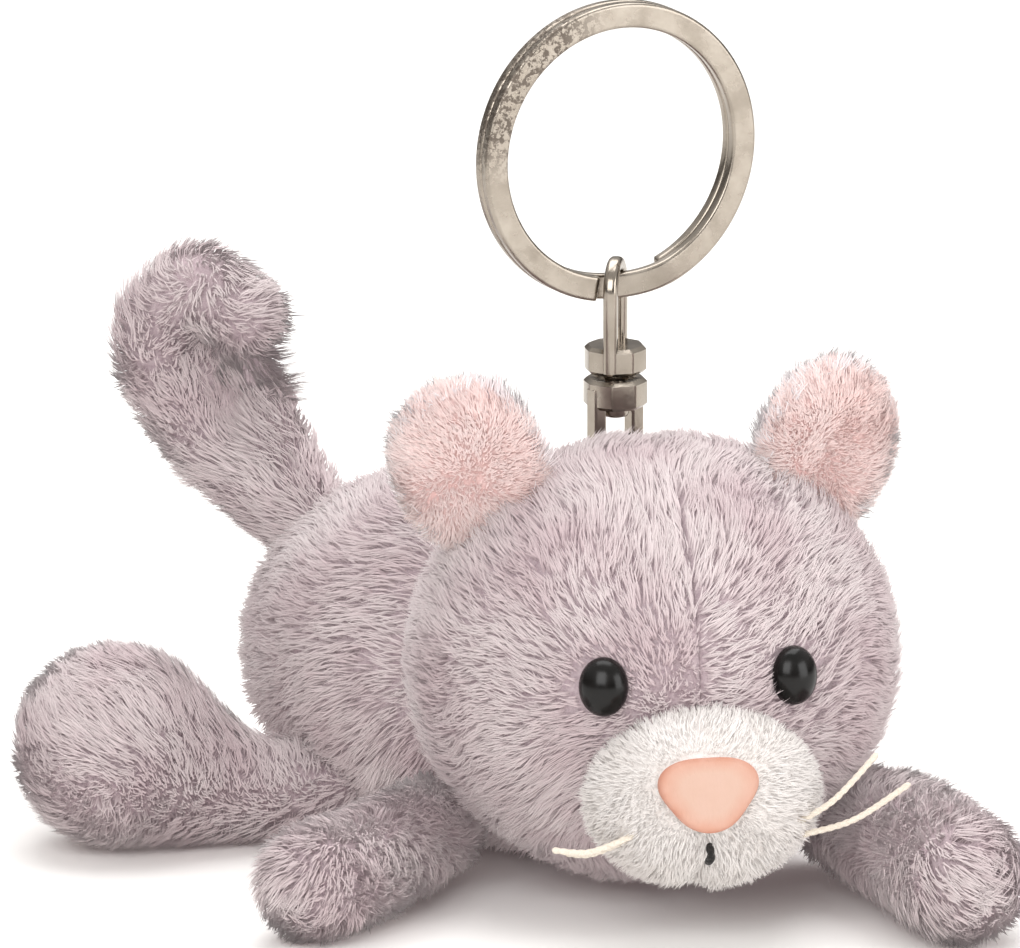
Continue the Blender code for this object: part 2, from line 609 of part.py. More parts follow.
def make_ring():
    """A flat wire of nearly two turns with a joggle at the bottom, where it passes through the eye."""
    half_wide, half_thick, corner = RING_WIDE / 2, RING_WIRE / 2, RING_CORNER
    profile = bpy.data.curves.new("ring_profile", "CURVE")
    outline = profile.splines.new("POLY")
    near, far = (corner, 0.0), (0.0, corner)
    quarters = [(1, -1, near, far), (1, 1, far, near), (-1, 1, near, far), (-1, -1, far, near)]
    corners = [(sx * (half_wide - cx), sy * (half_thick - cy))
               for sx, sy, *cuts in quarters for cx, cy in cuts]
    outline.points.add(len(corners) - 1)
    for point, (x, y) in zip(outline.points, corners):
        point.co = (x * MM, y * MM, 0.0, 1.0)
    outline.use_cyclic_u = True
    guide = as_cutter(bpy.data.objects.new("ring_profile", profile))
    wire = bpy.data.curves.new("split_ring", "CURVE")
    wire.dimensions = "3D"
    wire.twist_mode = "Z_UP"
    wire.bevel_mode = "OBJECT"
    wire.bevel_object = guide
    wire.use_fill_caps = True
    steps = round((RING_END - RING_START) / RING_STEP)
    line = wire.splines.new("POLY")
    line.points.add(steps)
    for i, point in enumerate(line.points):
        degrees = RING_START + (RING_END - RING_START) * i / steps
        a = math.radians(degrees)
        place = Vector((-RING_RADIUS * math.sin(a), -RING_RADIUS * math.cos(a), -ring_layer(degrees))) * MM
        point.co = (*place, 1.0)
    ring = curve_to_mesh("split_ring", wire)
    ring.matrix_world = stand(RING_TURN, RING_HEIGHT) @ Matrix.Rotation(math.radians(90), 4, "X")
    finish(ring, "nickel", at(*SWIVEL, ARCH_HEIGHT))


make_swivel()
make_ring()
head_room = as_cutter(ellipsoid("head_room", HEAD_CENTRE, HEAD_RADII, SOFT_GAP))
make_muzzle(head_room)
for side, sign in (("left", 1), ("right", -1)):
    make_ear(side, sign, head_room)
for limb in LIMBS:
    make_limb(limb)
arm_swings = [swept("swing_" + limb, limb, SWING_GAP) for limb in ("arm_left", "arm_right")]
rear_swings = [swept("swing_" + limb, limb, SWING_GAP) for limb in ("foot_left", "foot_right", "tail")]
make_head(arm_swings)
make_body(head_room, arm_swings + rear_swings)
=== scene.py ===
import math

import bpy
import numpy as np
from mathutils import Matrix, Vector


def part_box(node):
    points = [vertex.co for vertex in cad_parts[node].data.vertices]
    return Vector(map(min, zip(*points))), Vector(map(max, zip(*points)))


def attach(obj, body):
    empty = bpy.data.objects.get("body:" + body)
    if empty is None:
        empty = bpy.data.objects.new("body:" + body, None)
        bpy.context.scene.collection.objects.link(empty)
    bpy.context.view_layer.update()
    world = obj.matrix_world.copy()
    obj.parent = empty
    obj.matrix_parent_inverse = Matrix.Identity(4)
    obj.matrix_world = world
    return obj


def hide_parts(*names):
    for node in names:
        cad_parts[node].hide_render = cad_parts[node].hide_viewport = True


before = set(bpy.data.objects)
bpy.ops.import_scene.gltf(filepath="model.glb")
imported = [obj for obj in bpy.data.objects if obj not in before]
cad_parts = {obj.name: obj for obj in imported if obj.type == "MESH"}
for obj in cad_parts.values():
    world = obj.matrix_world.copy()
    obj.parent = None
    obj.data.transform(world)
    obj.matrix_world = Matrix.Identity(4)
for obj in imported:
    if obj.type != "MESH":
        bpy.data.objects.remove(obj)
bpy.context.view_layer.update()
print("frame loaded")

mm = 0.001

# Every point below is in millimetres from the middle of the head, on the floor.
lowLeft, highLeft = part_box("head_cover_left")
lowRight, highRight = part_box("head_cover_right")
headMiddle = np.array([(lowRight[0] + highLeft[0]) / 2, (lowLeft[1] + highLeft[1]) / 2, 0.0])


def toMetres(points):
    return np.asarray(points, float) * mm + headMiddle


# ---- camera first, so that it is there for every later stage
cameraView = {"aim": (-11.2, 12.9, 39.4), "around": -14.0, "above": 14.0, "distance": 4179.0, "lens": 1500.0}


def makeCamera(view):
    around, above = math.radians(view["around"]), math.radians(view["above"])
    back = np.array([math.sin(around) * math.cos(above), -math.cos(around) * math.cos(above), math.sin(above)])
    camera = bpy.data.objects.new("camera", bpy.data.cameras.new("camera"))
    bpy.context.scene.collection.objects.link(camera)
    camera.data.lens = view["lens"]
    camera.data.sensor_width = 36.0
    camera.data.clip_start = 0.01
    camera.location = toMetres(view["aim"]) + back * view["distance"] * mm
    camera.rotation_euler = (math.radians(90.0 - view["above"]), 0.0, around)
    bpy.context.scene.camera = camera


makeCamera(cameraView)
print("camera placed")


# ---- small helpers for vectors, lines and random cells
def unit(vectors):
    return vectors / np.maximum(np.linalg.norm(vectors, axis=-1, keepdims=True), 1e-9)


def dot(a, b):
    return (a * b).sum(-1, keepdims=True)


def alongSurface(vectors, normals):
    return vectors - dot(vectors, normals) * normals


# Catmull-Rom through the rows: half of 2b + (c - a) t + (2a - 5b + 4c - d) t^2 + (3b - a - 3c + d) t^3
def smoothLine(rows, steps):
    rows = np.asarray(rows, float)
    ends = np.vstack([rows[:1], rows, rows[-1:]])
    a, b, c, d = (ends[i : len(ends) - 3 + i][:, None, :] for i in range(4))
    t = (np.arange(steps) / steps)[None, :, None]
    line = (2 * b + (c - a) * t + (2 * a - 5 * b + 4 * c - d) * t**2 + (3 * b - a - 3 * c + d) * t**3) / 2
    return np.vstack([line.reshape(-1, rows.shape[1]), rows[-1:]])


# Three numbers from 0 to 1 for each whole-number cell, mixed so that neighbours have nothing in common.
def cellNumbers(cells, salt):
    mixed = (cells[..., 0] * 73856093) ^ (cells[..., 1] * 19349663) ^ (cells[..., 2] * 83492791) ^ (salt * 40503)
    mixed = mixed & 0xFFFFFFFF
    for shift, factor in ((15, 2246822519), (13, 3266489917)):
        mixed = ((mixed ^ (mixed >> shift)) * factor) & 0xFFFFFFFF
    mixed = mixed ^ (mixed >> 16)
    return np.stack([(mixed >> shift) & 1023 for shift in (0, 10, 20)], -1) / 1023.0


# The nearest of the points scattered one to a cell, which is the middle of the tuft that a fibre belongs to.
def findTufts(points, size, salt):
    cells = np.floor(points / size).astype(np.int64)
    best = np.full(len(points), 1e9)
    middle = np.zeros_like(points)
    lot = np.zeros_like(points)
    for offset in np.ndindex(3, 3, 3):
        cell = cells + np.array(offset) - 1
        numbers = cellNumbers(cell, salt)
        place = (cell + numbers) * size
        far = ((place - points) ** 2).sum(1)
        near = far < best
        best = np.where(near, far, best)
        middle[near] = place[near]
        lot[near] = numbers[near]
    return middle, lot[:, [1, 2, 0]]


# A slow wandering vector: the sum of five sines of each place, with random directions and this wavelength.
def wander(points, size, salt):
    rng = np.random.default_rng(salt)
    waves = unit(rng.normal(size=(5, 3))) * 2 * math.pi / (size * rng.uniform(0.7, 1.5, (5, 1)))
    turns = rng.uniform(0, 2 * math.pi, (5, 3))
    return np.sin((points @ waves.T)[:, :, None] + turns).sum(1) / 2.2


def turnAbout(axis, degrees):
    c, s = math.cos(math.radians(degrees)), math.sin(math.radians(degrees))
    return {
        "x": np.array([[1, 0, 0], [0, c, -s], [0, s, c]]),
        "y": np.array([[c, 0, s], [0, 1, 0], [-s, 0, c]]),
        "z": np.array([[c, -s, 0], [s, c, 0], [0, 0, 1]]),
    }[axis]


# ---- meshes from arrays
def putMesh(name, points, triangles=None, quads=None, attributes=None, normals=None):
    mesh = bpy.data.meshes.new(name)
    mesh.vertices.add(len(points))
    mesh.vertices.foreach_set("co", toMetres(points).astype(np.float32).ravel())
    parts = [p for p in (triangles, quads) if p is not None and len(p)]
    corners = np.concatenate([p.ravel() for p in parts]).astype(np.int32)
    sizes = np.concatenate([np.full(len(p), p.shape[1]) for p in parts])
    mesh.loops.add(len(corners))
    mesh.loops.foreach_set("vertex_index", corners)
    mesh.polygons.add(len(sizes))
    mesh.polygons.foreach_set("loop_start", np.concatenate([[0], np.cumsum(sizes)[:-1]]).astype(np.int32))
    for label, values in (attributes or {}).items():
        kind = "FLOAT" if values.ndim == 1 else "FLOAT_VECTOR"
        layer = mesh.attributes.new(label, kind, "POINT")
        layer.data.foreach_set("value" if values.ndim == 1 else "vector", values.astype(np.float32).ravel())
    mesh.update(calc_edges=True)
    mesh.shade_smooth()
    if normals is not None:
        mesh.normals_split_custom_set_from_vertices(normals)
    thing = bpy.data.objects.new(name, mesh)
    bpy.context.scene.collection.objects.link(thing)
    return thing


# Faces of a grid of rows by columns that closes on itself round each row. With poles, each end row is one point.
def gridFaces(rows, columns, start=0):
    i, j = np.meshgrid(np.arange(rows - 1), np.arange(columns), indexing="ij")
    k = (j + 1) % columns
    corners = np.stack([i * columns + j, i * columns + k, (i + 1) * columns + k, (i + 1) * columns + j], -1)
    return corners.reshape(-1, 4) + start


def closedGrid(grid, start=0):
    rows, columns = grid.shape[:2]
    inner = rows - 2
    points = np.vstack([grid[0].mean(0)[None], grid[1:-1].reshape(-1, 3), grid[-1].mean(0)[None]])
    j = np.arange(columns)
    k = (j + 1) % columns
    first = np.stack([np.zeros_like(j), 1 + k, 1 + j], -1)
    last = np.stack([np.full_like(j, 1 + inner * columns), 1 + (inner - 1) * columns + j, 1 + (inner - 1) * columns + k], -1)
    return points, np.vstack([first, last]) + start, gridFaces(inner, columns, 1 + start)


# Several closed grids as one mesh. A grid whose faces look inwards is turned round by its signed volume.
def putGrids(name, grids, values=None):
    points, triangles, quads, layers = [], [], [], []
    start = 0
    for i, grid in enumerate(grids):
        some, tri, quad = closedGrid(grid, start)
        corners = np.vstack([tri, quad[:, [0, 1, 2]], quad[:, [0, 2, 3]]]) - start
        a, b, c = (some[corners[:, n]] for n in range(3))
        if (a * np.cross(b, c)).sum() < 0:
            tri, quad = tri[:, ::-1], quad[:, ::-1]
        points.append(some)
        triangles.append(tri)
        quads.append(quad)
        if values is not None:
            layers.append(closedGrid(np.repeat(values[i][..., None], 3, -1))[0][:, 0])
        start += len(some)
    attributes = {"part": np.concatenate(layers)} if values is not None else None
    return putMesh(name, np.vstack(points), np.vstack(triangles), np.vstack(quads), attributes)


# ---- stuffed forms: a union of balls, with the surface found by rays from inside
# Each ball is |shape (point - middle)| = 1, where shape divides by its radii after an optional turn.
def makeForm(rows, shrink, turn=None):
    rows = np.atleast_2d(np.asarray(rows, float))
    if rows.shape[1] == 4:
        rows = np.hstack([rows, rows[:, 3:], rows[:, 3:]])
    radii = rows[:, 3:] - shrink
    shapes = np.einsum("ki,ij->kij", 1 / radii, np.eye(3) if turn is None else turn.T)
    return {"middles": rows[:, :3], "shapes": shapes, "least": radii.min(1)}


# A ray start + t way leaves a ball at the larger root of |shape (start + t way - middle)|^2 = 1, and the
# surface is at the largest of these over all the balls.
def leaveForm(starts, ways, form):
    gaps = starts[..., None, :] - form["middles"]
    p = np.einsum("kij,...kj->...ki", form["shapes"], gaps)
    q = np.einsum("kij,...j->...ki", form["shapes"], ways)
    a, b, c = (q * q).sum(-1), (p * q).sum(-1), (p * p).sum(-1) - 1
    inside = b * b - a * c
    far = np.where(inside > 0, (-b + np.sqrt(np.maximum(inside, 0))) / a, -1e3)
    return starts + far.max(-1)[..., None] * ways


# How deep each point is in a form, in millimetres, and the outward direction there.
def depthIn(points, form):
    best = np.full(len(points), -1e9)
    normals = np.zeros_like(points)
    for middle, shape, least in zip(form["middles"], form["shapes"], form["least"]):
        p = (points - middle) @ shape.T
        depth = (1 - np.linalg.norm(p, axis=1)) * least
        near = depth > best
        best = np.where(near, depth, best)
        normals[near] = (p @ shape)[near]
    return best, unit(normals)


# Directions round an axis: cos(tilt) axis + sin(tilt) (cos(turn) side + sin(turn) other)
def fanWays(axis, tilts, columns):
    axis = unit(np.asarray(axis, float))
    side = unit(np.cross(axis, (0.3, 0.5, 0.8) if abs(axis[2]) < 0.9 else (1.0, 0.0, 0.0)))
    other = np.cross(axis, side)
    turns = np.arange(columns) * 2 * math.pi / columns
    round = np.cos(turns)[:, None] * side + np.sin(turns)[:, None] * other
    tilts = np.radians(tilts)[:, None, None]
    return np.cos(tilts) * axis + np.sin(tilts) * round


# A sleeve: rays square to the path all along it, and fans of rays from each end. The reference keeps the
# columns from twisting.
def sleeveGrid(path, form, reference, columns, capRows):
    ahead = unit(np.gradient(path[:, :3], axis=0))
    side = unit(np.cross(ahead, np.asarray(reference, float)))
    other = np.cross(ahead, side)
    turns = (np.arange(columns) * 2 * math.pi / columns)[None, :, None]
    ways = np.cos(turns) * side[:, None] + np.sin(turns) * other[:, None]
    tilts = np.radians(np.linspace(90, 0, capRows + 1))[1:, None, None]
    ending = np.sin(tilts) * ways[-1] + np.cos(tilts) * ahead[-1]
    opening = (np.sin(tilts) * ways[0] - np.cos(tilts) * ahead[0])[::-1]
    starts = np.concatenate([np.repeat(path[:1, :3], capRows, 0), path[:, :3], np.repeat(path[-1:, :3], capRows, 0)])
    ways = np.concatenate([opening, ways, ending])
    return leaveForm(np.broadcast_to(starts[:, None], ways.shape), ways, form)


# Random places on a grid: a quad is picked by its area, and the place by two even numbers across it.
def scatterOn(grid, count, rng):
    nextColumn = np.roll(grid, -1, axis=1)
    a, b, c, d = grid[:-1], nextColumn[:-1], nextColumn[1:], grid[1:]
    area = np.linalg.norm(np.cross(c - a, d - b), axis=-1).ravel() / 2
    picked = rng.choice(len(area), count, p=area / area.sum())
    a, b, c, d = (corner.reshape(-1, 3)[picked] for corner in (a, b, c, d))
    u, v = rng.random((2, count, 1))
    return (a * (1 - u) + b * u) * (1 - v) + (d * (1 - u) + c * u) * v


# ---- pile: each fibre is a thin three-sided spike on a bent line
# root, then middle = root + length (rise up + a little comb), then tip = root + length (up + comb) pulled
# towards the middle of its tuft.
def growPile(name, body, roots, normals, comb, pile, seed, size=1.0):
    rng = np.random.default_rng(seed)
    count = len(roots)
    middle, lot = findTufts(roots, pile["tuft"], seed)
    towards = alongSurface(middle - roots, normals)
    toss = alongSurface((lot * 2 - 1) * pile["toss"] + rng.normal(size=(count, 3)) * pile["stray"], normals)
    length = pile["length"] * (0.78 + 0.36 * lot[:, :1]) * rng.uniform(0.82, 1.12, (count, 1))
    length = length * np.reshape(size, (-1, 1))
    comb = alongSurface(comb, normals) * pile["lay"]
    base = roots - normals * 0.4
    mid = roots + length * (normals * pile["rise"] * 0.62 + comb * 0.3 + toss * 0.4) + towards * pile["pull"] * 0.45
    tip = roots + length * (normals * pile["rise"] + comb + toss) + towards * pile["pull"]
    ahead = unit(tip - base)
    side = unit(np.cross(ahead, normals + rng.normal(size=(count, 3)) * 0.15))
    other = np.cross(ahead, side)
    wide = pile["width"] / 2 * rng.uniform(0.75, 1.25, (count, 1))
    angles = np.radians([-90.0, 30.0, 150.0])
    across, over = np.cos(angles)[None, :, None], np.sin(angles)[None, :, None]
    ring = across * (side * wide)[:, None] + over * (other * wide * pile["ridge"])[:, None]
    points = np.concatenate([base[:, None] + ring, mid[:, None] + ring * 0.85, tip[:, None]], 1)
    points[..., 2] = np.maximum(points[..., 2], 0.12)
    sides = [(0, 1, 4), (0, 4, 3), (1, 2, 5), (1, 5, 4), (2, 0, 3), (2, 3, 5)]
    faces = np.array([(0, 2, 1), *sides, (3, 4, 6), (4, 5, 6), (5, 3, 6)])
    triangles = (np.arange(count)[:, None, None] * 7 + faces).reshape(-1, 3)
    along = np.tile([0.0, 0.0, 0.0, 0.5, 0.5, 0.5, 1.0], count)
    shade = np.repeat(0.6 * lot[:, 1] + 0.4 * rng.random(count), 7)
    radial = across * side[:, None] + over * other[:, None]
    low = normals[:, None] + 0.2 * radial
    high = 0.9 * normals[:, None] + 0.35 * radial + 0.2 * ahead[:, None]
    facing = unit(np.concatenate([low, high, 0.7 * normals[:, None] + 0.5 * ahead[:, None]], 1))
    values = {"along": along, "shade": shade}
    thing = putMesh(name, points.reshape(-1, 3), triangles, None, values, facing.reshape(-1, 3))
    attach(thing, body)
    return thing


def smoothStep(x, low, high):
    t = np.clip((x - low) / (high - low), 0, 1)
    return t * t * (3 - 2 * t)


# ---- materials
def linear(hexColour):
    parts = [int(hexColour[i : i + 2], 16) / 255 for i in (1, 3, 5)]
    return tuple(p / 12.92 if p <= 0.04045 else ((p + 0.055) / 1.055) ** 2.4 for p in parts) + (1.0,)


def addNode(tree, kind, values=None, links=None, **settings):
    node = tree.nodes.new("ShaderNode" + kind)
    for name, value in settings.items():
        setattr(node, name, value)
    for socket, value in (values or {}).items():
        node.inputs[socket].default_value = value
    for socket, source in (links or {}).items():
        tree.links.new(source, node.inputs[socket])
    return node


def newMaterial(name):
    material = bpy.data.materials.new(name)
    material.use_nodes = True
    material.node_tree.nodes.clear()
    return material, material.node_tree


# The shader of a surface that has a colour, a bump and settings of its own.
def dressSurface(tree, settings, colour, bump):
    skin = addNode(tree, "BsdfPrincipled", settings, {"Base Color": colour, "Normal": bump.outputs[0]})
    addNode(tree, "OutputMaterial", {}, {"Surface": skin.outputs[0]})


def setRamp(node, stops):
    ramp = node.color_ramp
    while len(ramp.elements) < len(stops):
        ramp.elements.new(1.0)
    for element, (place, colour) in zip(ramp.elements, stops):
        element.position = place
        element.color = linear(colour)
    return node.outputs["Color"]


# Polyester plush pile: dull fibres that let some light through. Along each fibre the colour is painted shade,
# darker at the root where light is lost, and painted light, whitish at the tip. Patches of about 9 mm are a little
# pinker, as on pile that has been stroked both ways. The faint glow is painted light, standing for light that is
# passed on from fibre to fibre.
def plushPile(name, root, middle, tip, patch, patchShare, through, scattered):
    material, tree = newMaterial(name)
    along = addNode(tree, "Attribute", attribute_name="along")
    shade = addNode(tree, "Attribute", attribute_name="shade")
    # painted shade at the root of each fibre and painted light at its tip
    colour = setRamp(addNode(tree, "ValToRGB", links={0: along.outputs["Fac"]}), [(0.0, root), (0.5, middle), (1.0, tip)])
    place = addNode(tree, "TexCoord").outputs["Object"]
    cloud = addNode(tree, "TexNoise", {"Scale": 110.0, "Detail": 2.0}, {"Vector": place})
    share = addNode(tree, "MapRange", {1: 0.38, 2: 0.68, 3: 0.0, 4: patchShare}, {0: cloud.outputs["Fac"]})
    patched = addNode(tree, "Mix", {7: linear(patch)}, {0: share.outputs[0], 6: colour}, data_type="RGBA", blend_type="MULTIPLY")
    light = addNode(tree, "MapRange", {1: 0.0, 2: 1.0, 3: 0.9, 4: 1.05}, {0: shade.outputs["Fac"]})
    lit = addNode(tree, "VectorMath", {}, {0: patched.outputs[2], 3: light.outputs[0]}, operation="SCALE")
    dull = {"Roughness": 0.8, "IOR": 1.5, "Specular IOR Level": 0.2, "Sheen Weight": 0.25, "Sheen Roughness": 0.5}
    # painted glow: a faint emission in the pile's own colour, for light passed on from fibre to fibre
    dull["Emission Strength"] = scattered
    fibre = addNode(tree, "BsdfPrincipled", dull, {"Base Color": lit.outputs[0], "Emission Color": lit.outputs[0]})
    glow = addNode(tree, "BsdfTranslucent", {}, {"Color": lit.outputs[0]})
    both = addNode(tree, "MixShader", {0: through}, {1: fibre.outputs[0], 2: glow.outputs[0]})
    addNode(tree, "OutputMaterial", {}, {"Surface": both.outputs[0]})
    return material


# Knitted backing of the plush, seen only between the fibres: dull and mottled by the roots of the pile, and coloured
# as dark as the roots of the pile or darker, as painted shade for the gaps between the fibres.
def plushBacking(name, dark, light):
    material, tree = newMaterial(name)
    place = addNode(tree, "TexCoord").outputs["Object"]
    grain = addNode(tree, "TexNoise", {"Scale": 1800.0, "Detail": 3.0}, {"Vector": place})
    colour = setRamp(addNode(tree, "ValToRGB", links={0: grain.outputs["Fac"]}), [(0.35, dark), (0.65, light)])
    bump = addNode(tree, "Bump", {"Strength": 0.5, "Distance": 0.0003}, {"Height": grain.outputs["Fac"]})
    settings = {"Roughness": 0.95, "IOR": 1.5, "Specular IOR Level": 0.15, "Sheen Weight": 0.2}
    dressSurface(tree, settings, colour, bump)
    return material


# each ramp runs from painted shade at the root to painted light at the tip
lilacPile = plushPile("lilac_plush_pile", "#BFADB0", "#CFC0C1", "#DDD2D1", "#DDCBD1", 0.5, 0.08, 0.14)
# painted light: a paler copy of the lilac pile, used on the ear backs for the whitish fuzz where their rims catch the
# light
paintedLightLilacPile = plushPile("lilac_plush_pile_painted_light", "#D9CBCE", "#E8DDDE", "#F5EFEE", "#F0E2E4", 0.4, 0.08, 0.14)
whitePile = plushPile("white_plush_pile", "#E2DBD6", "#E9E3DF", "#EEE9E6", "#F6F1EC", 0.4, 0.08, 0.14)
pinkPile = plushPile("pink_plush_pile", "#E6C3BF", "#EBD1CD", "#F2E4E1", "#F6E2DE", 0.5, 0.08, 0.14)
# painted shade: each backing is as dark as the roots of its pile, and the lilac one is darker still
lilacBacking = plushBacking("lilac_plush_backing", "#B09DA3", "#C3B2B6")
whiteBacking = plushBacking("white_plush_backing", "#E4DEDA", "#ECE7E4")
pinkBacking = plushBacking("pink_plush_backing", "#E6C2BE", "#EDD0CC")
print("plush materials made")


def setMaterial(thing, material):
    thing.data.materials.clear()
    thing.data.materials.append(material)
    return thing


# ---- the forms of the cat, from the balls of its CAD solids less the depth of the pile
headShape = {"ball": (0.0, 0.0, 23.5, 24.8, 21.0, 22.5), "depth": 1.5, "rows": 44, "columns": 96, "fibres": 19500}
muzzleShape = {"ball": (-0.3, -21.0, 14.4, 12.5, 8.5, 9.6), "depth": 1.4, "rows": 44, "columns": 72, "fibres": 11000}
bodyShape = {
    "stations": [
        (-1.5, 11.0, 13.0, 18.5, 12.0, 13.2),
        (-8.5, 25.0, 18.4, 22.8, 19.0, 19.2),
        (-15.0, 37.5, 16.4, 17.5, 16.5, 17.2),
    ],
    "depth": 1.5, "middle": (-8.5, 25.0, 9.0), "rows": 30, "columns": 96,
}
limbShapes = {
    "arm_right": {
        "balls": [(-20.5, 6.0, 6.0, 5.4), (-27.0, -2.0, 5.92, 5.9), (-31.5, -7.5, 6.02, 6.1), (-37.3, -12.7, 6.02, 6.3)],
        "reference": (0, 0, 1), "fibres": 10500, "seed": 31,
    },
    "arm_left": {
        "balls": [(19.0, 3.0, 6.0, 5.4), (21.0, -8.0, 6.505, 6.4), (22.4, -16.0, 6.905, 7.0), (24.0, -29.0, 6.805, 7.0)],
        "reference": (0, 0, 1), "fibres": 11500, "seed": 32,
    },
    "foot_right": {
        "balls": [(-25.0, 27.0, 6.0, 5.0), (-32.0, 27.0, 5.39, 5.5), (-38.5, 27.3, 6.69, 6.9), (-47.4, 28.0, 10.39, 10.5)],
        "reference": (0, 0, 1), "fibres": 15500, "seed": 33,
    },
    "foot_left": {
        "balls": [(6.0, 39.5, 6.0, 5.0), (12.0, 43.0, 5.42, 5.5), (16.5, 46.0, 6.72, 6.9), (21.6, 49.6, 10.42, 10.5)],
        "reference": (0, 0, 1), "fibres": 12000, "seed": 34,
    },
    "tail": {
        "balls": [
            (-20.0, 41.0, 24.5, 5.0), (-25.0, 45.5, 29.0, 5.3), (-31.6, 51.0, 34.8, 5.3), (-35.6, 53.0, 40.5, 5.3),
            (-36.9, 52.6, 46.0, 5.3), (-34.0, 50.0, 50.6, 5.2), (-30.0, 47.2, 48.6, 4.9),
        ],
        "reference": (0.57, 0.82, 0.0), "fibres": 15500, "seed": 35,
    },
}
limbDepth = 1.5

headForm = makeForm(headShape["ball"], headShape["depth"])
muzzleForm = makeForm(muzzleShape["ball"], muzzleShape["depth"])
bodyForm = makeForm(smoothLine(bodyShape["stations"], 6), bodyShape["depth"])
limbPaths = {name: smoothLine(limb["balls"], 8) for name, limb in limbShapes.items()}
limbForms = {name: makeForm(path, limbDepth) for name, path in limbPaths.items()}

# pile on the main plush: millimetres, except lay, rise, pull, toss and stray, which are shares of the length
lilacShag = {
    "length": 2.5, "width": 0.24, "tuft": 1.2, "lay": 0.72, "rise": 0.58,
    "pull": 0.42, "toss": 0.28, "stray": 0.14, "ridge": 0.3,
}
whiteShag = {
    "length": 1.6, "width": 0.17, "tuft": 0.7, "lay": 0.5, "rise": 0.7,
    "pull": 0.15, "toss": 0.15, "stray": 0.16, "ridge": 0.3,
}
pinkShag = {
    "length": 2.0, "width": 0.17, "tuft": 0.8, "lay": 0.6, "rise": 0.6,
    "pull": 0.2, "toss": 0.14, "stray": 0.16, "ridge": 0.3,
}

swivelLine = np.array([-0.5, 13.0])
eyePlaces = {"left": np.array([9.8, -19.0, 25.5]), "right": np.array([-9.8, -19.0, 25.5])}
noseFrame = {"place": np.array([-1.6, -28.2, 16.8]), "lean": 14.0, "wide": 9.8, "tall": 7.4}


def keepOutside(points, forms, deepest):
    keep = np.ones(len(points), bool)
    for form in forms:
        keep &= depthIn(points, form)[0] < deepest
    return keep


# ---- head: two stuffed halves with a parting along the seam
# Half an ellipsoid: a fan of rays from the side pole to the seam, closed by a flat wall at the seam. The
# surface sinks by seam depth times exp(-(x / seam width)^2) near the seam.
def makeHeadHalf(side, sign):
    tilts = np.linspace(0.0, 90.0, headShape["rows"])
    ways = fanWays((sign, 0.0, 0.0), tilts, headShape["columns"])
    starts = np.broadcast_to(np.array([sign * 0.03, 0.0, headShape["ball"][2]]), ways.shape)
    grid = leaveForm(starts, ways, headForm)
    near = np.exp(-((grid[..., :1] / 1.6) ** 2))
    grid = grid - 0.45 * near * ways
    wall = np.broadcast_to(starts[0, 0], grid[:1].shape)
    skin = putGrids(f"head_{side}_plush", [np.concatenate([grid, wall])])
    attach(setMaterial(skin, lilacBacking), "torso")
    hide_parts(f"head_cover_{side}")

    rng = np.random.default_rng(11 if sign > 0 else 12)
    roots = scatterOn(grid, headShape["fibres"] * 2, rng)
    roots = roots[keepOutside(roots, [muzzleForm], 0.6) & keepOutside(roots, [bodyForm], 1.5)]
    roots = roots[np.linalg.norm(roots - eyePlaces[side], axis=1) > 2.9][: headShape["fibres"]]
    normals = depthIn(roots, headForm)[1]
    eyeGap = np.linalg.norm(roots - eyePlaces[side], axis=1)
    swivelGap = np.linalg.norm(roots[:, :2] - swivelLine, axis=1) + 99 * (roots[:, 2] < 30)
    size = (0.5 + 0.5 * smoothStep(eyeGap, 2.9, 5.2)) * (0.4 + 0.6 * smoothStep(swivelGap, 3.0, 5.0))
    comb = unit(alongSurface(roots - noseFrame["place"], normals))
    comb = comb + 0.45 * wander(roots, 13.0, 5) + 0.35 * smoothStep(-eyeGap, -5.5, -3.0)[:, None] * unit(roots - eyePlaces[side])
    comb = comb + np.array([sign * 0.5, 0, 0]) * np.exp(-((roots[:, :1] / 1.6) ** 2))
    pile = growPile(f"head_{side}_pile", "torso", roots, normals, comb, lilacShag, 21 if sign > 0 else 22, size)
    setMaterial(pile, lilacPile)


for side, sign in (("left", 1), ("right", -1)):
    makeHeadHalf(side, sign)
print("head grown")


# ---- muzzle: white and short, with the seam pulled in below the nose
def makeMuzzle():
    ways = fanWays((0.0, -1.0, 0.0), np.linspace(0.0, 180.0, muzzleShape["rows"]), muzzleShape["columns"])
    middle = np.array(muzzleShape["ball"][:3])
    grid = leaveForm(np.broadcast_to(middle, ways.shape), ways, muzzleForm)
    seam = grid[..., :1] - noseFrame["place"][0]
    crease = np.exp(-((seam / 1.1) ** 2)) * smoothStep(-grid[..., 2:], -13.5, -10.0)
    grid = grid - 0.7 * crease * ways
    skin = putGrids("muzzle_plush", [grid])
    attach(setMaterial(skin, whiteBacking), "torso")
    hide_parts("muzzle_cover")

    rng = np.random.default_rng(13)
    roots = scatterOn(grid, muzzleShape["fibres"] * 3, rng)
    roots = roots[keepOutside(roots, [headForm], 0.4)]
    across = (roots - noseFrame["place"]) / np.array([noseFrame["wide"] / 2, 1.0, noseFrame["tall"] / 2])
    onNose = (np.hypot(across[:, 0], across[:, 2]) < 0.86) & (roots[:, 1] < -22)
    roots = roots[~onNose][: muzzleShape["fibres"]]
    normals = depthIn(roots, muzzleForm)[1]
    comb = unit(alongSurface(roots - noseFrame["place"], normals)) + 0.45 * wander(roots, 6.0, 6)
    seam = roots[:, :1] - noseFrame["place"][0]
    comb = comb + np.sign(seam) * np.array([0.35, 0, 0]) * np.exp(-((seam / 1.2) ** 2)) * (roots[:, 2:] < 13)
    noseGap = np.hypot(*((roots - noseFrame["place"]) / np.array([4.9, 1.0, 3.7]))[:, [0, 2]].T)
    size = 0.55 + 0.45 * smoothStep(noseGap, 0.9, 1.5)
    setMaterial(growPile("muzzle_pile", "torso", roots, normals, comb, whiteShag, 23, size), whitePile)


makeMuzzle()
print("muzzle grown")


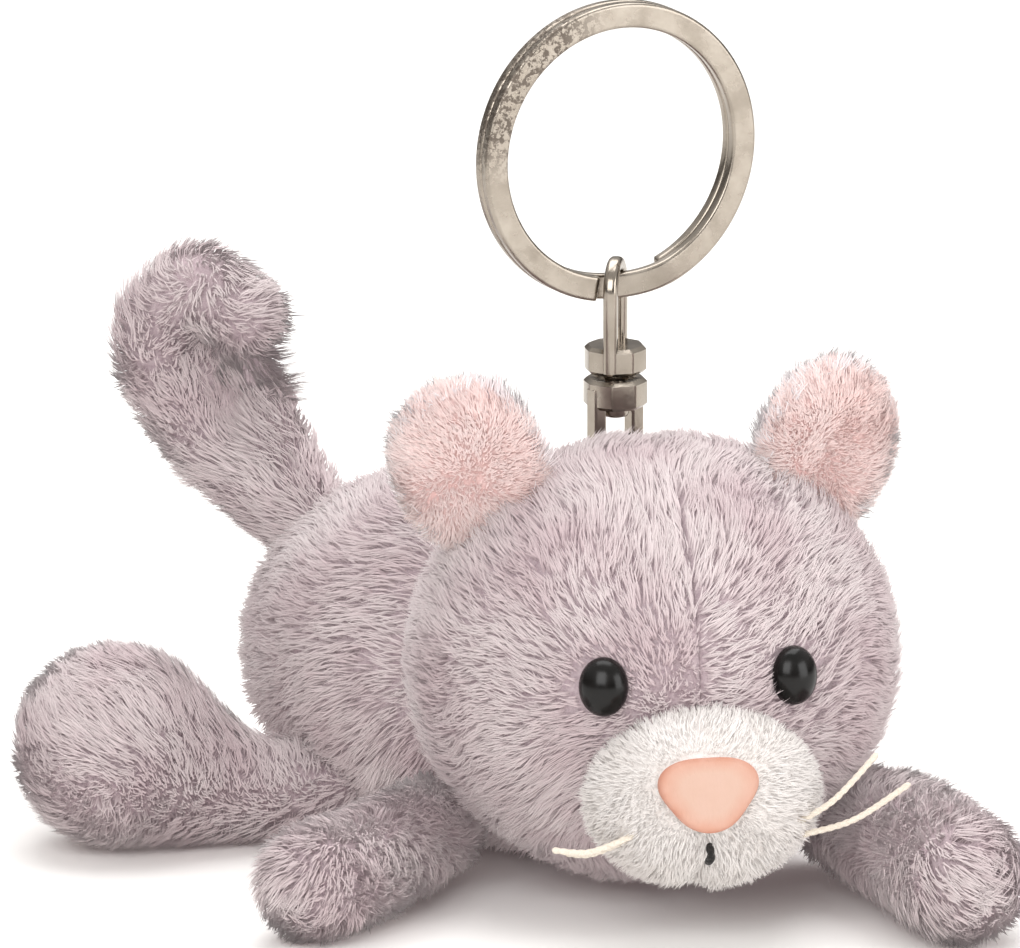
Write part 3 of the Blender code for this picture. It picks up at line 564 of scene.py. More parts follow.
# ---- body: back panel and belly panel, which meet at a level seam
# Rays go out from a point at the height of the seam, so the seam is the level row of the fan.
def makeBody():
    middle = np.array(bodyShape["middle"])
    others = [limbForms[name] for name in limbForms]
    for label, node, axis, count, seed in (("back", "body_back", 1.0, 19500, 14), ("belly", "body_belly", -1.0, 7000, 15)):
        ways = fanWays((0.0, 0.0, axis), np.linspace(0.0, 90.0, bodyShape["rows"]), bodyShape["columns"])
        grid = leaveForm(np.broadcast_to(middle, ways.shape), ways, bodyForm)
        near = np.exp(-(((grid[..., 2:] - middle[2]) / 1.5) ** 2))
        grid = grid - 0.5 * near * ways
        grid[..., 2] = np.maximum(grid[..., 2], 1.1)
        wall = np.broadcast_to(middle + (0, 0, axis * 0.15), grid[:1].shape)
        skin = putGrids(f"body_{label}_plush", [np.concatenate([grid, wall])])
        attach(setMaterial(skin, lilacBacking), "torso")
        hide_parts(node)
        rng = np.random.default_rng(seed)
        roots = scatterOn(grid, count * 2, rng)
        roots = roots[keepOutside(roots, [headForm], 1.0) & keepOutside(roots, others, 2.6)]
        roots = roots[(roots[:, 2] > 1.6) | (rng.random(len(roots)) < 0.4)][:count]
        normals = depthIn(roots, bodyForm)[1]
        comb = np.array([-0.25, 0.9, -0.45]) + 0.5 * wander(roots, 14.0, 7)
        setMaterial(growPile(f"body_{label}_pile", "torso", roots, normals, comb, lilacShag, seed + 10), lilacPile)


makeBody()
print("body grown")


# ---- legs and tail
def makeLimbs():
    for name, limb in limbShapes.items():
        path, form = limbPaths[name], limbForms[name]
        grid = sleeveGrid(path, form, limb["reference"], 44, 10)
        skin = putGrids(f"{name}_plush", [grid])
        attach(setMaterial(skin, lilacBacking), name)
        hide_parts(f"{name}_cover")
        rng = np.random.default_rng(limb["seed"])
        roots = scatterOn(grid, limb["fibres"] * 2, rng)
        roots = roots[keepOutside(roots, [headForm, bodyForm], 2.4) & (depthIn(roots, form)[0] < 0.5)][: limb["fibres"]]
        normals = depthIn(roots, form)[1]
        gaps = np.linalg.norm(roots[:, None] - path[None, :, :3], axis=2)
        ahead = unit(np.gradient(path[:, :3], axis=0))[gaps.argmin(1)]
        comb = unit(alongSurface(ahead, normals)) * 0.9 + np.array([0, 0, -0.25 if name != "tail" else 0.1])
        if name.startswith("foot"):
            comb = comb + np.array([0, 0, 0.9]) * smoothStep(roots[:, 2:], 6.0, 14.0)
        comb = comb + 0.5 * wander(roots, 11.0, limb["seed"])
        setMaterial(growPile(f"{name}_pile", name, roots, normals, comb, lilacShag, limb["seed"] + 10), lilacPile)


makeLimbs()
print("legs and tail grown")


# ---- ears: a lilac back and a dished pink inner panel
earShape = {
    "middle": (18.0, 0.0, 43.8), "shift": -0.6, "radii": (8.6, 4.6, 9.8), "lean": 20.0, "turn": 16.0,
    "panel": 1.9, "inner": (6.7, 2.4, 7.9),
}


# The pink panel is a disc of rings rho from 0 to 1: x and z are rho times the radii, and y is
# -thick sqrt(1 - rho^2) + dish (1 - rho^2)^2 in front and +thick sqrt(1 - rho^2) behind.
def makeEar(side, sign):
    turn = turnAbout("z", sign * earShape["turn"]) @ turnAbout("y", sign * earShape["lean"])
    middle = np.array(earShape["middle"]) * (sign, 1, 1) + (earShape["shift"], 0, 0)
    backRadii = np.array(earShape["radii"]) - (earShape["panel"], 1.9, earShape["panel"])
    form = makeForm([*middle, *backRadii], 0.0, turn)
    ways = fanWays(turn @ (0.0, 1.0, 0.0), np.linspace(0.0, 100.0, 24), 56)
    grid = leaveForm(np.broadcast_to(middle, ways.shape), ways, form)
    wall = np.broadcast_to(middle + turn @ (0, 0.6, 0), grid[:1].shape)
    skin = putGrids(f"ear_{side}_back_plush", [np.concatenate([grid, wall])])
    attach(setMaterial(skin, lilacBacking), "torso")
    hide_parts(f"ear_{side}_back")
    rng = np.random.default_rng(41 if sign > 0 else 42)
    roots = scatterOn(grid, 9000, rng)
    roots = roots[keepOutside(roots, [headForm], 0.6)][:5000]
    normals = depthIn(roots, form)[1]
    outwards = unit(roots - middle)
    comb = turn @ np.array([0, 0, 0.8]) + 0.5 * outwards + 0.5 * wander(roots, 7.0, 8)
    shag = dict(lilacShag, length=2.3, width=0.2, tuft=1.0, stray=0.2)
    # the ear backs wear the paler copy of the lilac pile as painted light
    setMaterial(growPile(f"ear_{side}_back_pile", "torso", roots, normals, comb, shag, 51 if sign > 0 else 52), paintedLightLilacPile)

    wide, thick, tall = earShape["inner"]
    rho = np.sin(np.linspace(0.0, math.pi, 40))[:, None]
    front = (np.arange(40) < 20)[:, None]
    around = (np.arange(56) * 2 * math.pi / 56)[None, :]
    bulge = np.sqrt(np.maximum(1 - rho**2, 0))
    depth = np.where(front, -thick * bulge + 2.9 * bulge**4, thick * bulge) + 0 * around
    local = np.stack([wide * rho * np.cos(around), depth - 0.6, tall * rho * np.sin(around)], -1)
    panel = local @ turn.T + middle
    skin = putGrids(f"ear_{side}_inner_plush", [panel])
    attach(setMaterial(skin, pinkBacking), "torso")
    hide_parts(f"ear_{side}_inner")
    roots = scatterOn(panel[:23], 14000, rng)
    roots = roots[keepOutside(roots, [headForm], 0.3)][:7000]
    flat = (roots - middle) @ turn
    rim = np.hypot(flat[:, 0] / wide, flat[:, 2] / tall)
    facing = np.stack([flat[:, 0] / wide * rim**2, -1.05 + 0.8 * rim**4, flat[:, 2] / tall * rim**2], -1)
    normals = unit(facing @ turn.T)
    outwards = np.stack([flat[:, 0] / wide, 0 * rim, flat[:, 2] / tall + 0.35], -1) @ turn.T
    comb = outwards + 0.45 * wander(roots, 5.0, 9)
    size = 0.75 + 0.35 * smoothStep(rim, 0.5, 1.0)
    setMaterial(growPile(f"ear_{side}_inner_pile", "torso", roots, normals, comb, pinkShag, 53 if sign > 0 else 54, size), pinkPile)


for side, sign in (("left", 1), ("right", -1)):
    makeEar(side, sign)
print("ears grown")


# ---- hard pieces: outlines carried along paths
# A rectangle whose corners are quarter circles, with a point close to each end of every circle so that the
# flats stay flat when shaded.
def roundedOutline(wide, tall, corner, steps=5):
    turns = np.radians(np.linspace(0, 90, steps))
    arc = np.stack([np.cos(turns), np.sin(turns)], -1) * corner
    arc = np.vstack([arc[:1] - (0, corner * 0.25), arc, arc[-1:] - (corner * 0.25, 0)])
    place = np.array([wide / 2 - corner, tall / 2 - corner])
    quarter = arc + place
    half = np.vstack([quarter, (quarter * (-1, 1))[::-1]])
    return np.vstack([half, half * (-1, -1)])


# A bar: each row is path + x across + y other, where x and y come from the outline. Both ends get a small
# bevel and a flat cap.
def barGrid(path, across, other, outline, bevel):
    rows = path[:, None] + outline[None, :, :1] * across[:, None] + outline[None, :, 1:] * other[:, None]
    half = np.abs(outline).max(0)
    small = outline * (1 - bevel / half)
    ahead = unit(path[[0, -1]] - path[[1, -2]])
    caps = []
    for end, place in zip((0, -1), ahead):
        rim = path[end] + small[:, :1] * across[end] + small[:, 1:] * other[end]
        rows[end] = rows[end] - place * bevel
        caps.append(rim)
    first = np.broadcast_to(path[0], caps[0].shape)
    last = np.broadcast_to(path[-1], caps[1].shape)
    return np.concatenate([first[None], caps[0][None], rows, caps[1][None], last[None]])


def sharpen(thing, degrees=35):
    thing.data.set_sharp_from_angle(angle=math.radians(degrees))
    return thing


# A turned shape with facets: each row has a radius and a height, and the radius is scaled round the turn by
# a polygon's distance, softened by a share of a circle.
def facetedGrid(profile, middle, facets, softness, turn, columns=96):
    turns = np.arange(columns) * 2 * math.pi / columns
    step = 2 * math.pi / facets
    polygon = math.cos(step / 2) / np.cos((turns % step) - step / 2)
    scale = softness + (1 - softness) * polygon / polygon.mean()
    profile = np.asarray(profile, float)
    way = turns + math.radians(turn)
    flat = np.stack([np.cos(way) * scale, np.sin(way) * scale], -1)
    rows = np.concatenate([profile[:, None, :1] * flat, np.broadcast_to(profile[:, None, 1:], (len(profile), columns, 1))], -1)
    return rows + np.array([middle[0], middle[1], 0.0])


def planeWay(degrees):
    return np.array([math.cos(math.radians(degrees)), math.sin(math.radians(degrees)), 0.0])


# Nickel-plated zinc and steel: warm grey, half bright. The roughness wanders with polishing marks, and the
# ring has a worn, pitted stretch over its upper left quarter.
def nickelPlate(name, rough, worn):
    material, tree = newMaterial(name)
    place = addNode(tree, "TexCoord").outputs["Object"]
    smear = addNode(tree, "TexNoise", {"Scale": 420.0, "Detail": 3.0}, {"Vector": place})
    fine = addNode(tree, "TexNoise", {"Scale": 2600.0, "Detail": 2.0}, {"Vector": place})
    colour = setRamp(addNode(tree, "ValToRGB", links={0: smear.outputs["Fac"]}), [(0.3, "#948B80"), (0.7, "#AAA196")])
    gloss = addNode(tree, "MapRange", {1: 0.3, 2: 0.7, 3: rough - 0.05, 4: rough + 0.08}, {0: smear.outputs["Fac"]}).outputs[0]
    height = fine.outputs["Fac"]
    if worn:
        parts = addNode(tree, "SeparateXYZ", {}, {0: place})
        left = addNode(tree, "MapRange", {1: worn["right"], 2: worn["left"], 3: 0.0, 4: 1.0}, {0: parts.outputs["X"]})
        upper = addNode(tree, "MapRange", {1: worn["low"], 2: worn["high"], 3: 0.0, 4: 1.0}, {0: parts.outputs["Z"]})
        where = addNode(tree, "Math", {}, {0: left.outputs[0], 1: upper.outputs[0]}, operation="MULTIPLY")
        pits = addNode(tree, "TexNoise", {"Scale": 1500.0, "Detail": 3.0, "Roughness": 0.7}, {"Vector": place})
        spots = addNode(tree, "MapRange", {1: 0.47, 2: 0.55, 3: 0.0, 4: 1.0}, {0: pits.outputs["Fac"]})
        wear = addNode(tree, "Math", {}, {0: spots.outputs[0], 1: where.outputs[0]}, operation="MULTIPLY").outputs[0]
        colour = addNode(tree, "Mix", {7: linear("#6B625A")}, {0: wear, 6: colour}, data_type="RGBA").outputs[2]
        gloss = addNode(tree, "Math", {1: 0.22}, {0: wear, 2: gloss}, operation="MULTIPLY_ADD").outputs[0]
        height = addNode(tree, "Math", {1: -2.5}, {0: wear, 2: height}, operation="MULTIPLY_ADD").outputs[0]
    bump = addNode(tree, "Bump", {"Strength": 0.25, "Distance": 0.00004}, {"Height": height})
    plate = addNode(tree, "BsdfPrincipled", {"Metallic": 1.0}, {"Base Color": colour, "Roughness": gloss, "Normal": bump.outputs[0]})
    addNode(tree, "OutputMaterial", {}, {"Surface": plate.outputs[0]})
    return material


# ---- split ring: a flat wire of nearly two turns
# At the angle a from the bottom the wire is at radius (-sin a, -cos a) in the ring's plane, and pitch
# (step - 1/2) along its axis, where step goes from 0 to 1 through the joggle.
ringShape = {
    "radius": 13.75, "wide": 2.5, "thick": 1.15, "corner": 0.3, "pitch": 1.29, "start": 10.0, "end": 698.0,
    "joggle": (334.0, 368.0), "height": 71.5, "turn": 14.0, "rows": 300,
}


def makeRing():
    ring = ringShape
    degrees = np.linspace(ring["start"], ring["end"], ring["rows"])
    a = np.radians(degrees)[:, None]
    side, axis = planeWay(ring["turn"]), planeWay(ring["turn"] + 90)
    outwards = -np.sin(a) * side - np.cos(a) * np.array([0, 0, 1.0])
    layer = ring["pitch"] * (smoothStep(degrees, *ring["joggle"]) - 0.5)[:, None]
    middle = np.array([*swivelLine, ring["height"]])
    path = middle + ring["radius"] * outwards + layer * axis
    outline = roundedOutline(ring["wide"], ring["thick"], ring["corner"])
    grid = barGrid(path, outwards, np.broadcast_to(axis, path.shape), outline, 0.22)
    thing = sharpen(putGrids("split_ring_wire", [grid]), 50)
    place = toMetres(middle)
    worn = {"right": place[0] - 0.001, "left": place[0] - 0.006, "low": place[2] - 0.002, "high": place[2] + 0.003}
    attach(setMaterial(thing, nickelPlate("nickel_plated_steel", 0.26, worn)), "ring")
    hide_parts("split_ring")


makeRing()
print("split ring made")

# ---- swivel: frame and collar, rivet, and the eye with its block
swivelShape = {
    "wire": 1.4, "leg": 2.4, "yokeTurn": 26.0, "eyeTurn": 65.0, "collar": (3.05, 45.7, 48.6), "block": (3.0, 49.2, 51.9),
    "bar": 41.0, "arch": 57.6, "edge": 0.35, "neck": 1.05, "head": 1.35,
}


# A hoop in an upright plane: two straight legs and a round bend between them.
def hoopPath(legs, low, bend, up, straight=8, curved=30):
    turns = np.linspace(0, math.pi, curved)
    rise = np.linspace(low, bend, straight, endpoint=False)
    x = np.concatenate([np.full(straight, legs), legs * np.cos(turns), np.full(straight, -legs)])
    z = np.concatenate([rise, bend + up * legs * np.sin(turns), rise[::-1]])
    return x, z


def placeHoop(x, z, turn):
    way = planeWay(turn)
    path = np.array([*swivelLine, 0.0]) + x[:, None] * way + z[:, None] * np.array([0, 0, 1.0])
    ahead = unit(np.gradient(path, axis=0))
    axis = np.broadcast_to(planeWay(turn + 90), path.shape)
    return path, np.cross(ahead, axis), axis


# The points that round a turned corner at the height z: along the face, then up or down the side.
def turnedCorner(radius, z, inwards, edge, run=0.1, soft=0.06):
    face = [(radius - edge - run, z), (radius - edge, z)]
    side = [(radius - soft, z + inwards * (edge - soft)), (radius, z + inwards * edge)]
    return face + side + [(radius, z + inwards * (edge + run))]


def makeSwivel():
    shape = swivelShape
    metal = nickelPlate("nickel_plated_zinc", 0.2, None)
    edge = shape["edge"]

    radius, low, high = shape["block"]
    bottom, top = turnedCorner(radius, low, 1, edge), turnedCorner(radius, high, -1, edge)
    profile = [(0, low), *bottom, *top[::-1], (0, high)]
    block = facetedGrid(profile, swivelLine, 8, 0.35, shape["eyeTurn"])
    x, z = hoopPath(shape["leg"] + 0.12, low + 0.15, shape["arch"] - 0.1, 1.0)
    hoop = barGrid(*placeHoop(x, z, shape["eyeTurn"]), roundedOutline(shape["wire"], shape["wire"], 0.52, 6), 0.2)
    eye = sharpen(putGrids("swivel_eye_casting", [block, hoop]), 42)
    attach(setMaterial(eye, metal), "eye")
    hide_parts("swivel_eye")

    neck, head, collarLow, collarHigh = shape["neck"], shape["head"], *shape["collar"][1:]
    stem = [(0, low + 1.4), (neck, low + 1.4), (neck, collarLow - 0.2), (head - 0.1, collarLow - 0.2), (head, collarLow - 0.3)]
    stem += [(head, collarLow - 0.7), (head * 0.9, collarLow - 0.95), (head * 0.6, collarLow - 1.1), (0, collarLow - 1.15)]
    rivet = sharpen(putGrids("swivel_rivet_pin", [facetedGrid(stem, swivelLine, 8, 1.0, 0.0, 48)]), 42)
    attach(setMaterial(rivet, metal), "eye")
    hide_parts("swivel_rivet")

    radius = shape["collar"][0]
    bottom, top = turnedCorner(radius, collarLow, 1, edge), turnedCorner(radius, collarHigh, -1, edge)
    bore = [(1.9, 0.0), (1.8, 0.06), (1.7, 0.4), (1.35, 0.8), (1.3, 2.0), (0, 2.0)]
    profile = [(0, collarLow), *bottom[1:], *top[:0:-1], *((x, collarHigh - deep) for x, deep in bore)]
    collar = facetedGrid(profile, swivelLine, 8, 0.35, shape["yokeTurn"])
    half = shape["leg"]
    corner = np.linspace(0, math.pi / 2, 7)
    bend = 0.9
    inner = half - bend + bend * np.cos(corner)
    x = np.concatenate([[half] * 3, inner, [0.0], -inner[::-1], [-half] * 3])
    leg = np.array([2.2, 1.0, -1.5]) + collarLow
    sweep = shape["bar"] + bend - bend * np.sin(corner)
    z = np.concatenate([leg, sweep, [shape["bar"]], sweep[::-1], leg[::-1]])
    frameBar = barGrid(*placeHoop(x, z, shape["yokeTurn"]), roundedOutline(shape["wire"] + 0.1, shape["wire"], 0.22, 4), 0.2)
    yoke = sharpen(putGrids("swivel_yoke_casting", [collar, frameBar]), 42)
    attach(setMaterial(yoke, metal), "yoke")
    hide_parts("swivel_yoke")


makeSwivel()
print("swivel made")

# ---- safety eyes: black plastic domes
eyeShape = {"radius": 2.45, "tall": 1.2, "dome": 2.0, "sink": 0.6, "back": 0.9, "shank": 0.8, "long": 5.4}


# A dome turned about its own line: radius sin(a) and height dome cos(a) - sink, then the flat back and shank.
def makeEye(side, material):
    shape = eyeShape
    place = eyePlaces[side]
    ball = headShape["ball"]
    facing = unit((place - ball[:3]) / np.array(ball[3:]) ** 2)
    across = unit(np.cross((0.0, 0.0, 1.0), facing))
    up = np.cross(facing, across)
    a = np.linspace(0, math.pi / 2, 20)
    r = shape["radius"] * np.sin(a)
    h = shape["dome"] * np.cos(a) - shape["sink"]
    back, shank = -shape["back"], shape["shank"]
    r = np.concatenate([r, [shape["radius"], shape["radius"] - 0.15, shank, shank, 0.0]])
    h = np.concatenate([h, [back + 0.15, back, back, -shape["long"], -shape["long"]]])
    turns = np.arange(48) * 2 * math.pi / 48
    x, y = r[:, None] * np.cos(turns), r[:, None] * np.sin(turns) * shape["tall"]
    grid = place + x[..., None] * across + y[..., None] * up + h[:, None, None] * facing
    eye = sharpen(putGrids(f"eye_{side}_dome", [grid]), 40)
    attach(setMaterial(eye, material), "torso")
    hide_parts(f"eye_{side}")


# Moulded black ABS: near black with a slight brown, glossy, with a faint waviness in the shine.
def eyePlastic():
    material, tree = newMaterial("black_moulded_plastic")
    place = addNode(tree, "TexCoord").outputs["Object"]
    haze = addNode(tree, "TexNoise", {"Scale": 700.0, "Detail": 2.0}, {"Vector": place})
    colour = setRamp(addNode(tree, "ValToRGB", links={0: haze.outputs["Fac"]}), [(0.3, "#0A0908"), (0.7, "#120F0E")])
    gloss = addNode(tree, "MapRange", {1: 0.3, 2: 0.7, 3: 0.2, 4: 0.28}, {0: haze.outputs["Fac"]})
    plastic = addNode(tree, "BsdfPrincipled", {"IOR": 1.5, "Specular IOR Level": 0.3}, {"Base Color": colour, "Roughness": gloss.outputs[0]})
    addNode(tree, "OutputMaterial", {}, {"Surface": plastic.outputs[0]})
    return material


blackPlastic = eyePlastic()
for side in ("left", "right"):
    makeEye(side, blackPlastic)
print("eyes made")

# ---- nose: a thin pad of apricot felt
noseShape = {"thick": 1.5, "bow": 0.10, "edge": 0.45}


# A triangle on its point: x and y are the half sizes times 1 + bow cos(3 (a + 90)), and the height over a
# ring rho of it is thick (1 - 0.35 rho^2) with a rounded rim.
def makeNose():
    lean = math.radians(noseFrame["lean"])
    facing = np.array([0.0, -math.cos(lean), math.sin(lean)])
    across = np.array([1.0, 0.0, 0.0])
    up = np.cross(facing, across)
    turns = np.arange(72) * 2 * math.pi / 72
    bow = 1 + noseShape["bow"] * np.cos(3 * (turns + math.pi / 2))
    rim = np.linspace(0, math.pi / 2, 8)
    rho = np.concatenate([np.linspace(0, 0.9, 12), 0.9 + 0.1 * np.sin(rim)[1:], [0.98, 0.0]])
    thick = noseShape["thick"]
    top = thick * (1 - 0.28 * np.concatenate([np.linspace(0, 0.9, 12), np.full(7, 0.9)]) ** 2)
    fall = np.concatenate([np.zeros(12), noseShape["edge"] * (1 - np.cos(rim[1:]))])
    height = np.concatenate([top - fall, [0.0, 0.0]])
    x = rho[:, None] * noseFrame["wide"] / 2 * bow * np.cos(turns)
    y = rho[:, None] * noseFrame["tall"] / 2 * bow * np.sin(turns)
    grid = noseFrame["place"] + x[..., None] * across + y[..., None] * up + height[:, None, None] * facing
    share = np.broadcast_to(rho[:, None], x.shape)
    nose = sharpen(putGrids("nose_pad", [grid], [share]), 60)
    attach(setMaterial(nose, noseFelt()), "torso")
    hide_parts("nose")


# Brushed felt: matt apricot with short lying fibres 0.15 mm thick, and a deeper colour round the rim.
def noseFelt():
    material, tree = newMaterial("apricot_brushed_felt")
    place = addNode(tree, "TexCoord").outputs["Object"]
    stretched = addNode(tree, "Mapping", {"Scale": (1.0, 1.0, 0.35), "Rotation": (0.0, 0.5, 0.0)}, {"Vector": place})
    fibre = addNode(tree, "TexNoise", {"Scale": 3800.0, "Detail": 3.0, "Roughness": 0.6}, {"Vector": stretched.outputs[0]})
    cloud = addNode(tree, "TexNoise", {"Scale": 500.0, "Detail": 2.0}, {"Vector": place})
    edge = addNode(tree, "Attribute", attribute_name="part")
    rim = setRamp(addNode(tree, "ValToRGB", links={0: edge.outputs["Fac"]}), [(0.55, "#C9A898"), (0.86, "#C79986"), (1.0, "#BA826E")])
    pale = addNode(tree, "MapRange", {1: 0.35, 2: 0.7, 3: 0.0, 4: 0.35}, {0: cloud.outputs["Fac"]})
    mixed = addNode(tree, "Mix", {7: linear("#CFB0A2")}, {0: pale.outputs[0], 6: rim}, data_type="RGBA")
    bump = addNode(tree, "Bump", {"Strength": 0.5, "Distance": 0.00012}, {"Height": fibre.outputs["Fac"]})
    settings = {
        "Roughness": 0.85, "IOR": 1.5, "Specular IOR Level": 0.15,
        "Sheen Weight": 0.12, "Sheen Roughness": 0.4,
    }
    dressSurface(tree, settings, mixed.outputs[2], bump)
    return material


makeNose()
print("nose made")

# ---- threads: two plies twisted together
# Round the line the radius is radius (0.74 + 0.26 |cos(turn - twist)|), where twist grows by a full turn each
# pitch, and both ends are rounded off.
whiskerTwist = {"radius": 0.33, "pitch": 1.7}
threadShapes = {
    "mouth_stitch": {"rows": [(-1.5, -27.9, 9.7), (-1.5, -29.1, 10.2), (-1.5, -29.2, 11.0), (-1.5, -28.4, 11.6)], "radius": 0.42, "pitch": 1.6},
    "whisker_left_upper": {"rows": [(8.2, -25.0, 12.4), (9.2, -25.5, 12.9), (12.0, -26.2, 14.9), (16.2, -25.8, 19.0)], **whiskerTwist},
    "whisker_left_lower": {"rows": [(8.6, -24.7, 11.0), (9.5, -25.2, 11.2), (13.7, -27.2, 12.9), (18.9, -28.2, 16.4)], **whiskerTwist},
    "whisker_right_upper": {"rows": [(-8.0, -25.6, 12.4), (-9.4, -26.2, 12.0), (-13.1, -26.2, 10.9), (-16.6, -25.6, 11.2)], **whiskerTwist},
    "whisker_right_lower": {"rows": [(-8.0, -24.4, 11.6), (-9.1, -24.8, 11.4), (-12.6, -24.8, 10.3), (-15.0, -24.3, 10.5)], **whiskerTwist},
}


def threadGrid(rows, radius, pitch, columns=20):
    path = smoothLine(rows, 26)
    steps = np.linalg.norm(np.diff(path, axis=0), axis=1)
    run = np.concatenate([[0], np.cumsum(steps)])
    ahead = unit(np.gradient(path, axis=0))
    side = unit(np.cross(ahead, (0.1, 0.9, 0.3)))
    other = np.cross(ahead, side)
    turns = np.arange(columns) * 2 * math.pi / columns
    twist = (2 * math.pi * run / pitch)[:, None]
    size = radius * (0.74 + 0.26 * np.abs(np.cos(turns - twist)))
    ends = np.sqrt(1 - (1 - np.clip(np.minimum(run, run[-1] - run) / radius, 0, 1)) ** 2)
    size = (size * np.maximum(ends, 0.02)[:, None])[..., None]
    return path[:, None] + size * (np.cos(turns)[:, None] * side[:, None] + np.sin(turns)[:, None] * other[:, None])


# Spun polyester thread: matt, with a bump of fine fibres along the plies.
def spunThread(name, dark, light):
    material, tree = newMaterial(name)
    place = addNode(tree, "TexCoord").outputs["Object"]
    fibre = addNode(tree, "TexNoise", {"Scale": 5200.0, "Detail": 2.0}, {"Vector": place})
    colour = setRamp(addNode(tree, "ValToRGB", links={0: fibre.outputs["Fac"]}), [(0.3, dark), (0.7, light)])
    bump = addNode(tree, "Bump", {"Strength": 0.4, "Distance": 0.00008}, {"Height": fibre.outputs["Fac"]})
    settings = {"Roughness": 0.75, "IOR": 1.5, "Specular IOR Level": 0.3, "Sheen Weight": 0.15}
    dressSurface(tree, settings, colour, bump)
    return material


def makeThreads():
    blackThread = spunThread("black_polyester_thread", "#0E0D0C", "#2A2725")
    creamThread = spunThread("cream_cotton_thread", "#D6CABA", "#E3DACD")
    for node, shape in threadShapes.items():
        thing = putGrids(node + "_thread", [threadGrid(shape["rows"], shape["radius"], shape["pitch"])])
        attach(setMaterial(thing, blackThread if node == "mouth_stitch" else creamThread), "torso")
        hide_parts(node)


makeThreads()
print("threads made")


# ---- what stays from the CAD: fillings, washers and the anchor ribbon
# Polyester fibre filling: white and dull, in soft clumps of 2 to 3 mm.
def fibreFilling():
    material, tree = newMaterial("polyester_fibre_filling")
    place = addNode(tree, "TexCoord").outputs["Object"]
    clump = addNode(tree, "TexNoise", {"Scale": 420.0, "Detail": 5.0, "Roughness": 0.65}, {"Vector": place})
    colour = setRamp(addNode(tree, "ValToRGB", links={0: clump.outputs["Fac"]}), [(0.3, "#D9D7D2"), (0.7, "#F6F5F2")])
    bump = addNode(tree, "Bump", {"Strength": 0.7, "Distance": 0.0006}, {"Height": clump.outputs["Fac"]})
    settings = {"Roughness": 1.0, "IOR": 1.5, "Specular IOR Level": 0.1, "Sheen Weight": 0.3}
    dressSurface(tree, settings, colour, bump)
    return material


# Moulded polypropylene washer: milky and satin, with a faint flow pattern.
def washerPlastic():
    material, tree = newMaterial("milky_polypropylene")
    place = addNode(tree, "TexCoord").outputs["Object"]
    flow = addNode(tree, "TexNoise", {"Scale": 900.0, "Detail": 2.0}, {"Vector": place})
    colour = setRamp(addNode(tree, "ValToRGB", links={0: flow.outputs["Fac"]}), [(0.3, "#D6D5D0"), (0.7, "#E8E7E3")])
    gloss = addNode(tree, "MapRange", {1: 0.3, 2: 0.7, 3: 0.35, 4: 0.5}, {0: flow.outputs["Fac"]})
    plastic = addNode(tree, "BsdfPrincipled", {"IOR": 1.49}, {"Base Color": colour, "Roughness": gloss.outputs[0]})
    addNode(tree, "OutputMaterial", {}, {"Surface": plastic.outputs[0]})
    return material


# Woven polyester tape: cross ribs every 0.4 mm over a fine warp.
def wovenTape():
    material, tree = newMaterial("woven_polyester_tape")
    place = addNode(tree, "TexCoord").outputs["Object"]
    rib = addNode(tree, "TexWave", {"Scale": 800.0, "Distortion": 0.4}, {"Vector": place}, bands_direction="Z")
    colour = setRamp(addNode(tree, "ValToRGB", links={0: rib.outputs["Fac"]}), [(0.2, "#A89FA0"), (0.8, "#CDC5C3")])
    bump = addNode(tree, "Bump", {"Strength": 0.5, "Distance": 0.0001}, {"Height": rib.outputs["Fac"]})
    settings = {"Roughness": 0.7, "IOR": 1.5, "Sheen Weight": 0.1}
    dressSurface(tree, settings, colour, bump)
    return material


def dressCarriedNodes():
    filling, washer, tape = fibreFilling(), washerPlastic(), wovenTape()
    for name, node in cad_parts.items():
        for ending, material in (("_stuffing", filling), ("anchor_ribbon", tape)):
            if name.endswith(ending):
                setMaterial(node, material)
        if name.startswith("eye_washer"):
            setMaterial(node, washer)


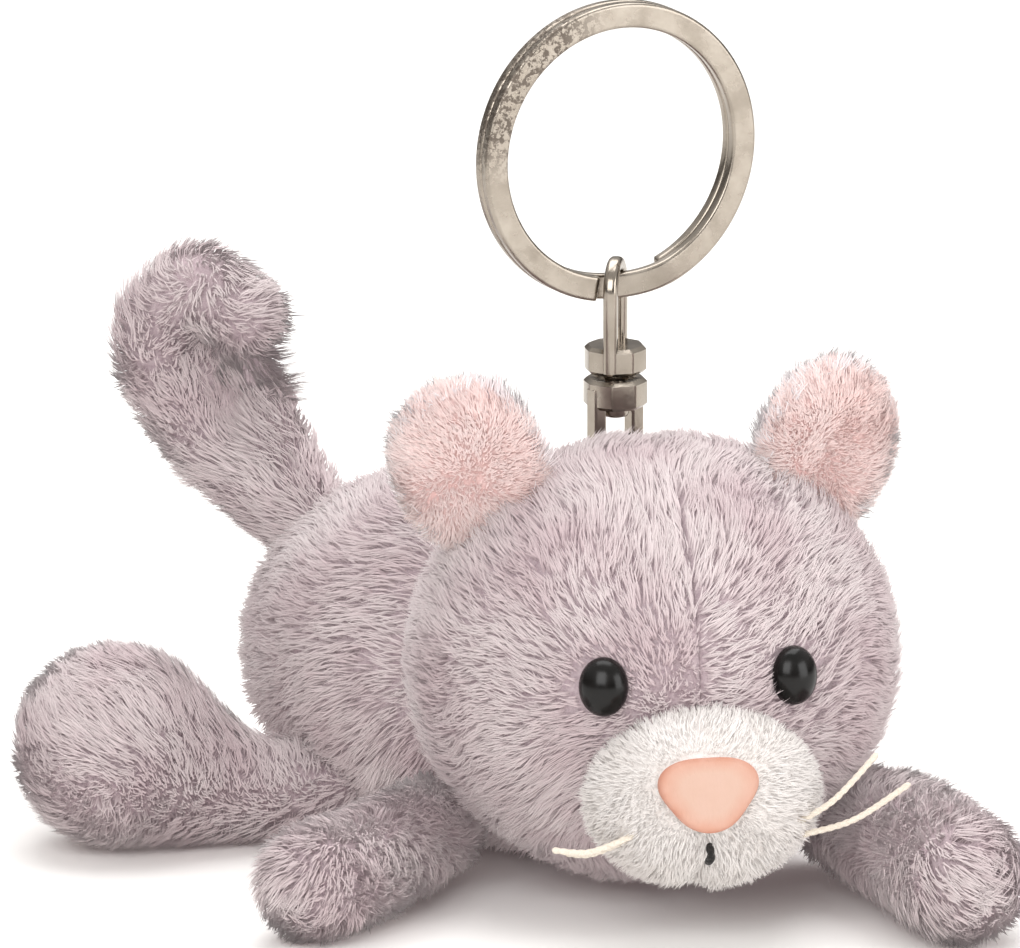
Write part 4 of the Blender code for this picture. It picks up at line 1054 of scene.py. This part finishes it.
dressCarriedNodes()
print("carried-over pieces dressed")


# ---- floor, light and world
def makeStudio():
    floor = bpy.data.objects.new("floor", bpy.data.meshes.new("floor"))
    half = 4.0
    floor.data.from_pydata([(-half, -half, 0), (half, -half, 0), (half, half, 0), (-half, half, 0)], [], [(0, 1, 2, 3)])
    bpy.context.scene.collection.objects.link(floor)
    material, tree = newMaterial("studio_floor")
    paint = addNode(tree, "BsdfPrincipled", {"Base Color": linear("#FBFAF8"), "Roughness": 0.9, "Specular IOR Level": 0.1})
    addNode(tree, "OutputMaterial", {}, {"Surface": paint.outputs[0]})
    setMaterial(floor, material)

    world = bpy.data.worlds.new("studio")
    bpy.context.scene.world = world
    world.use_nodes = True
    tree = world.node_tree
    tree.nodes.clear()
    place = addNode(tree, "TexCoord").outputs["Generated"]
    height = addNode(tree, "SeparateXYZ", {}, {0: place}).outputs["Z"]
    ramp = addNode(tree, "ValToRGB", links={0: height})
    colour = setRamp(ramp, [(0.0, "#3E3A37"), (0.12, "#77726E"), (0.5, "#F4F2F0")])
    sky = addNode(tree, "Background", {"Strength": 0.82}, {"Color": colour})
    addNode(tree, "OutputWorld", {}, {"Surface": sky.outputs[0]})

    lamps = {
        "key": {"from": (-260.0, -480.0, 320.0), "size": 0.40, "power": 2.0},
        "fill": {"from": (420.0, -380.0, 170.0), "size": 0.35, "power": 1.3},
        "top": {"from": (40.0, 160.0, 520.0), "size": 0.50, "power": 2.4},
    }
    for name, lamp in lamps.items():
        light = bpy.data.lights.new(name, "AREA")
        light.shape = "SQUARE"
        light.size = lamp["size"]
        light.energy = lamp["power"]
        thing = bpy.data.objects.new(name, light)
        bpy.context.scene.collection.objects.link(thing)
        thing.location = toMetres(lamp["from"])
        aim = np.array([-0.005, 0.0, 0.03]) - np.array(thing.location)
        flat = math.hypot(aim[0], aim[1])
        thing.rotation_euler = (math.atan2(flat, -aim[2]), 0.0, math.atan2(-aim[0], aim[1]))
    bpy.context.scene.view_settings.view_transform = "Standard"


makeStudio()
print("studio lit")
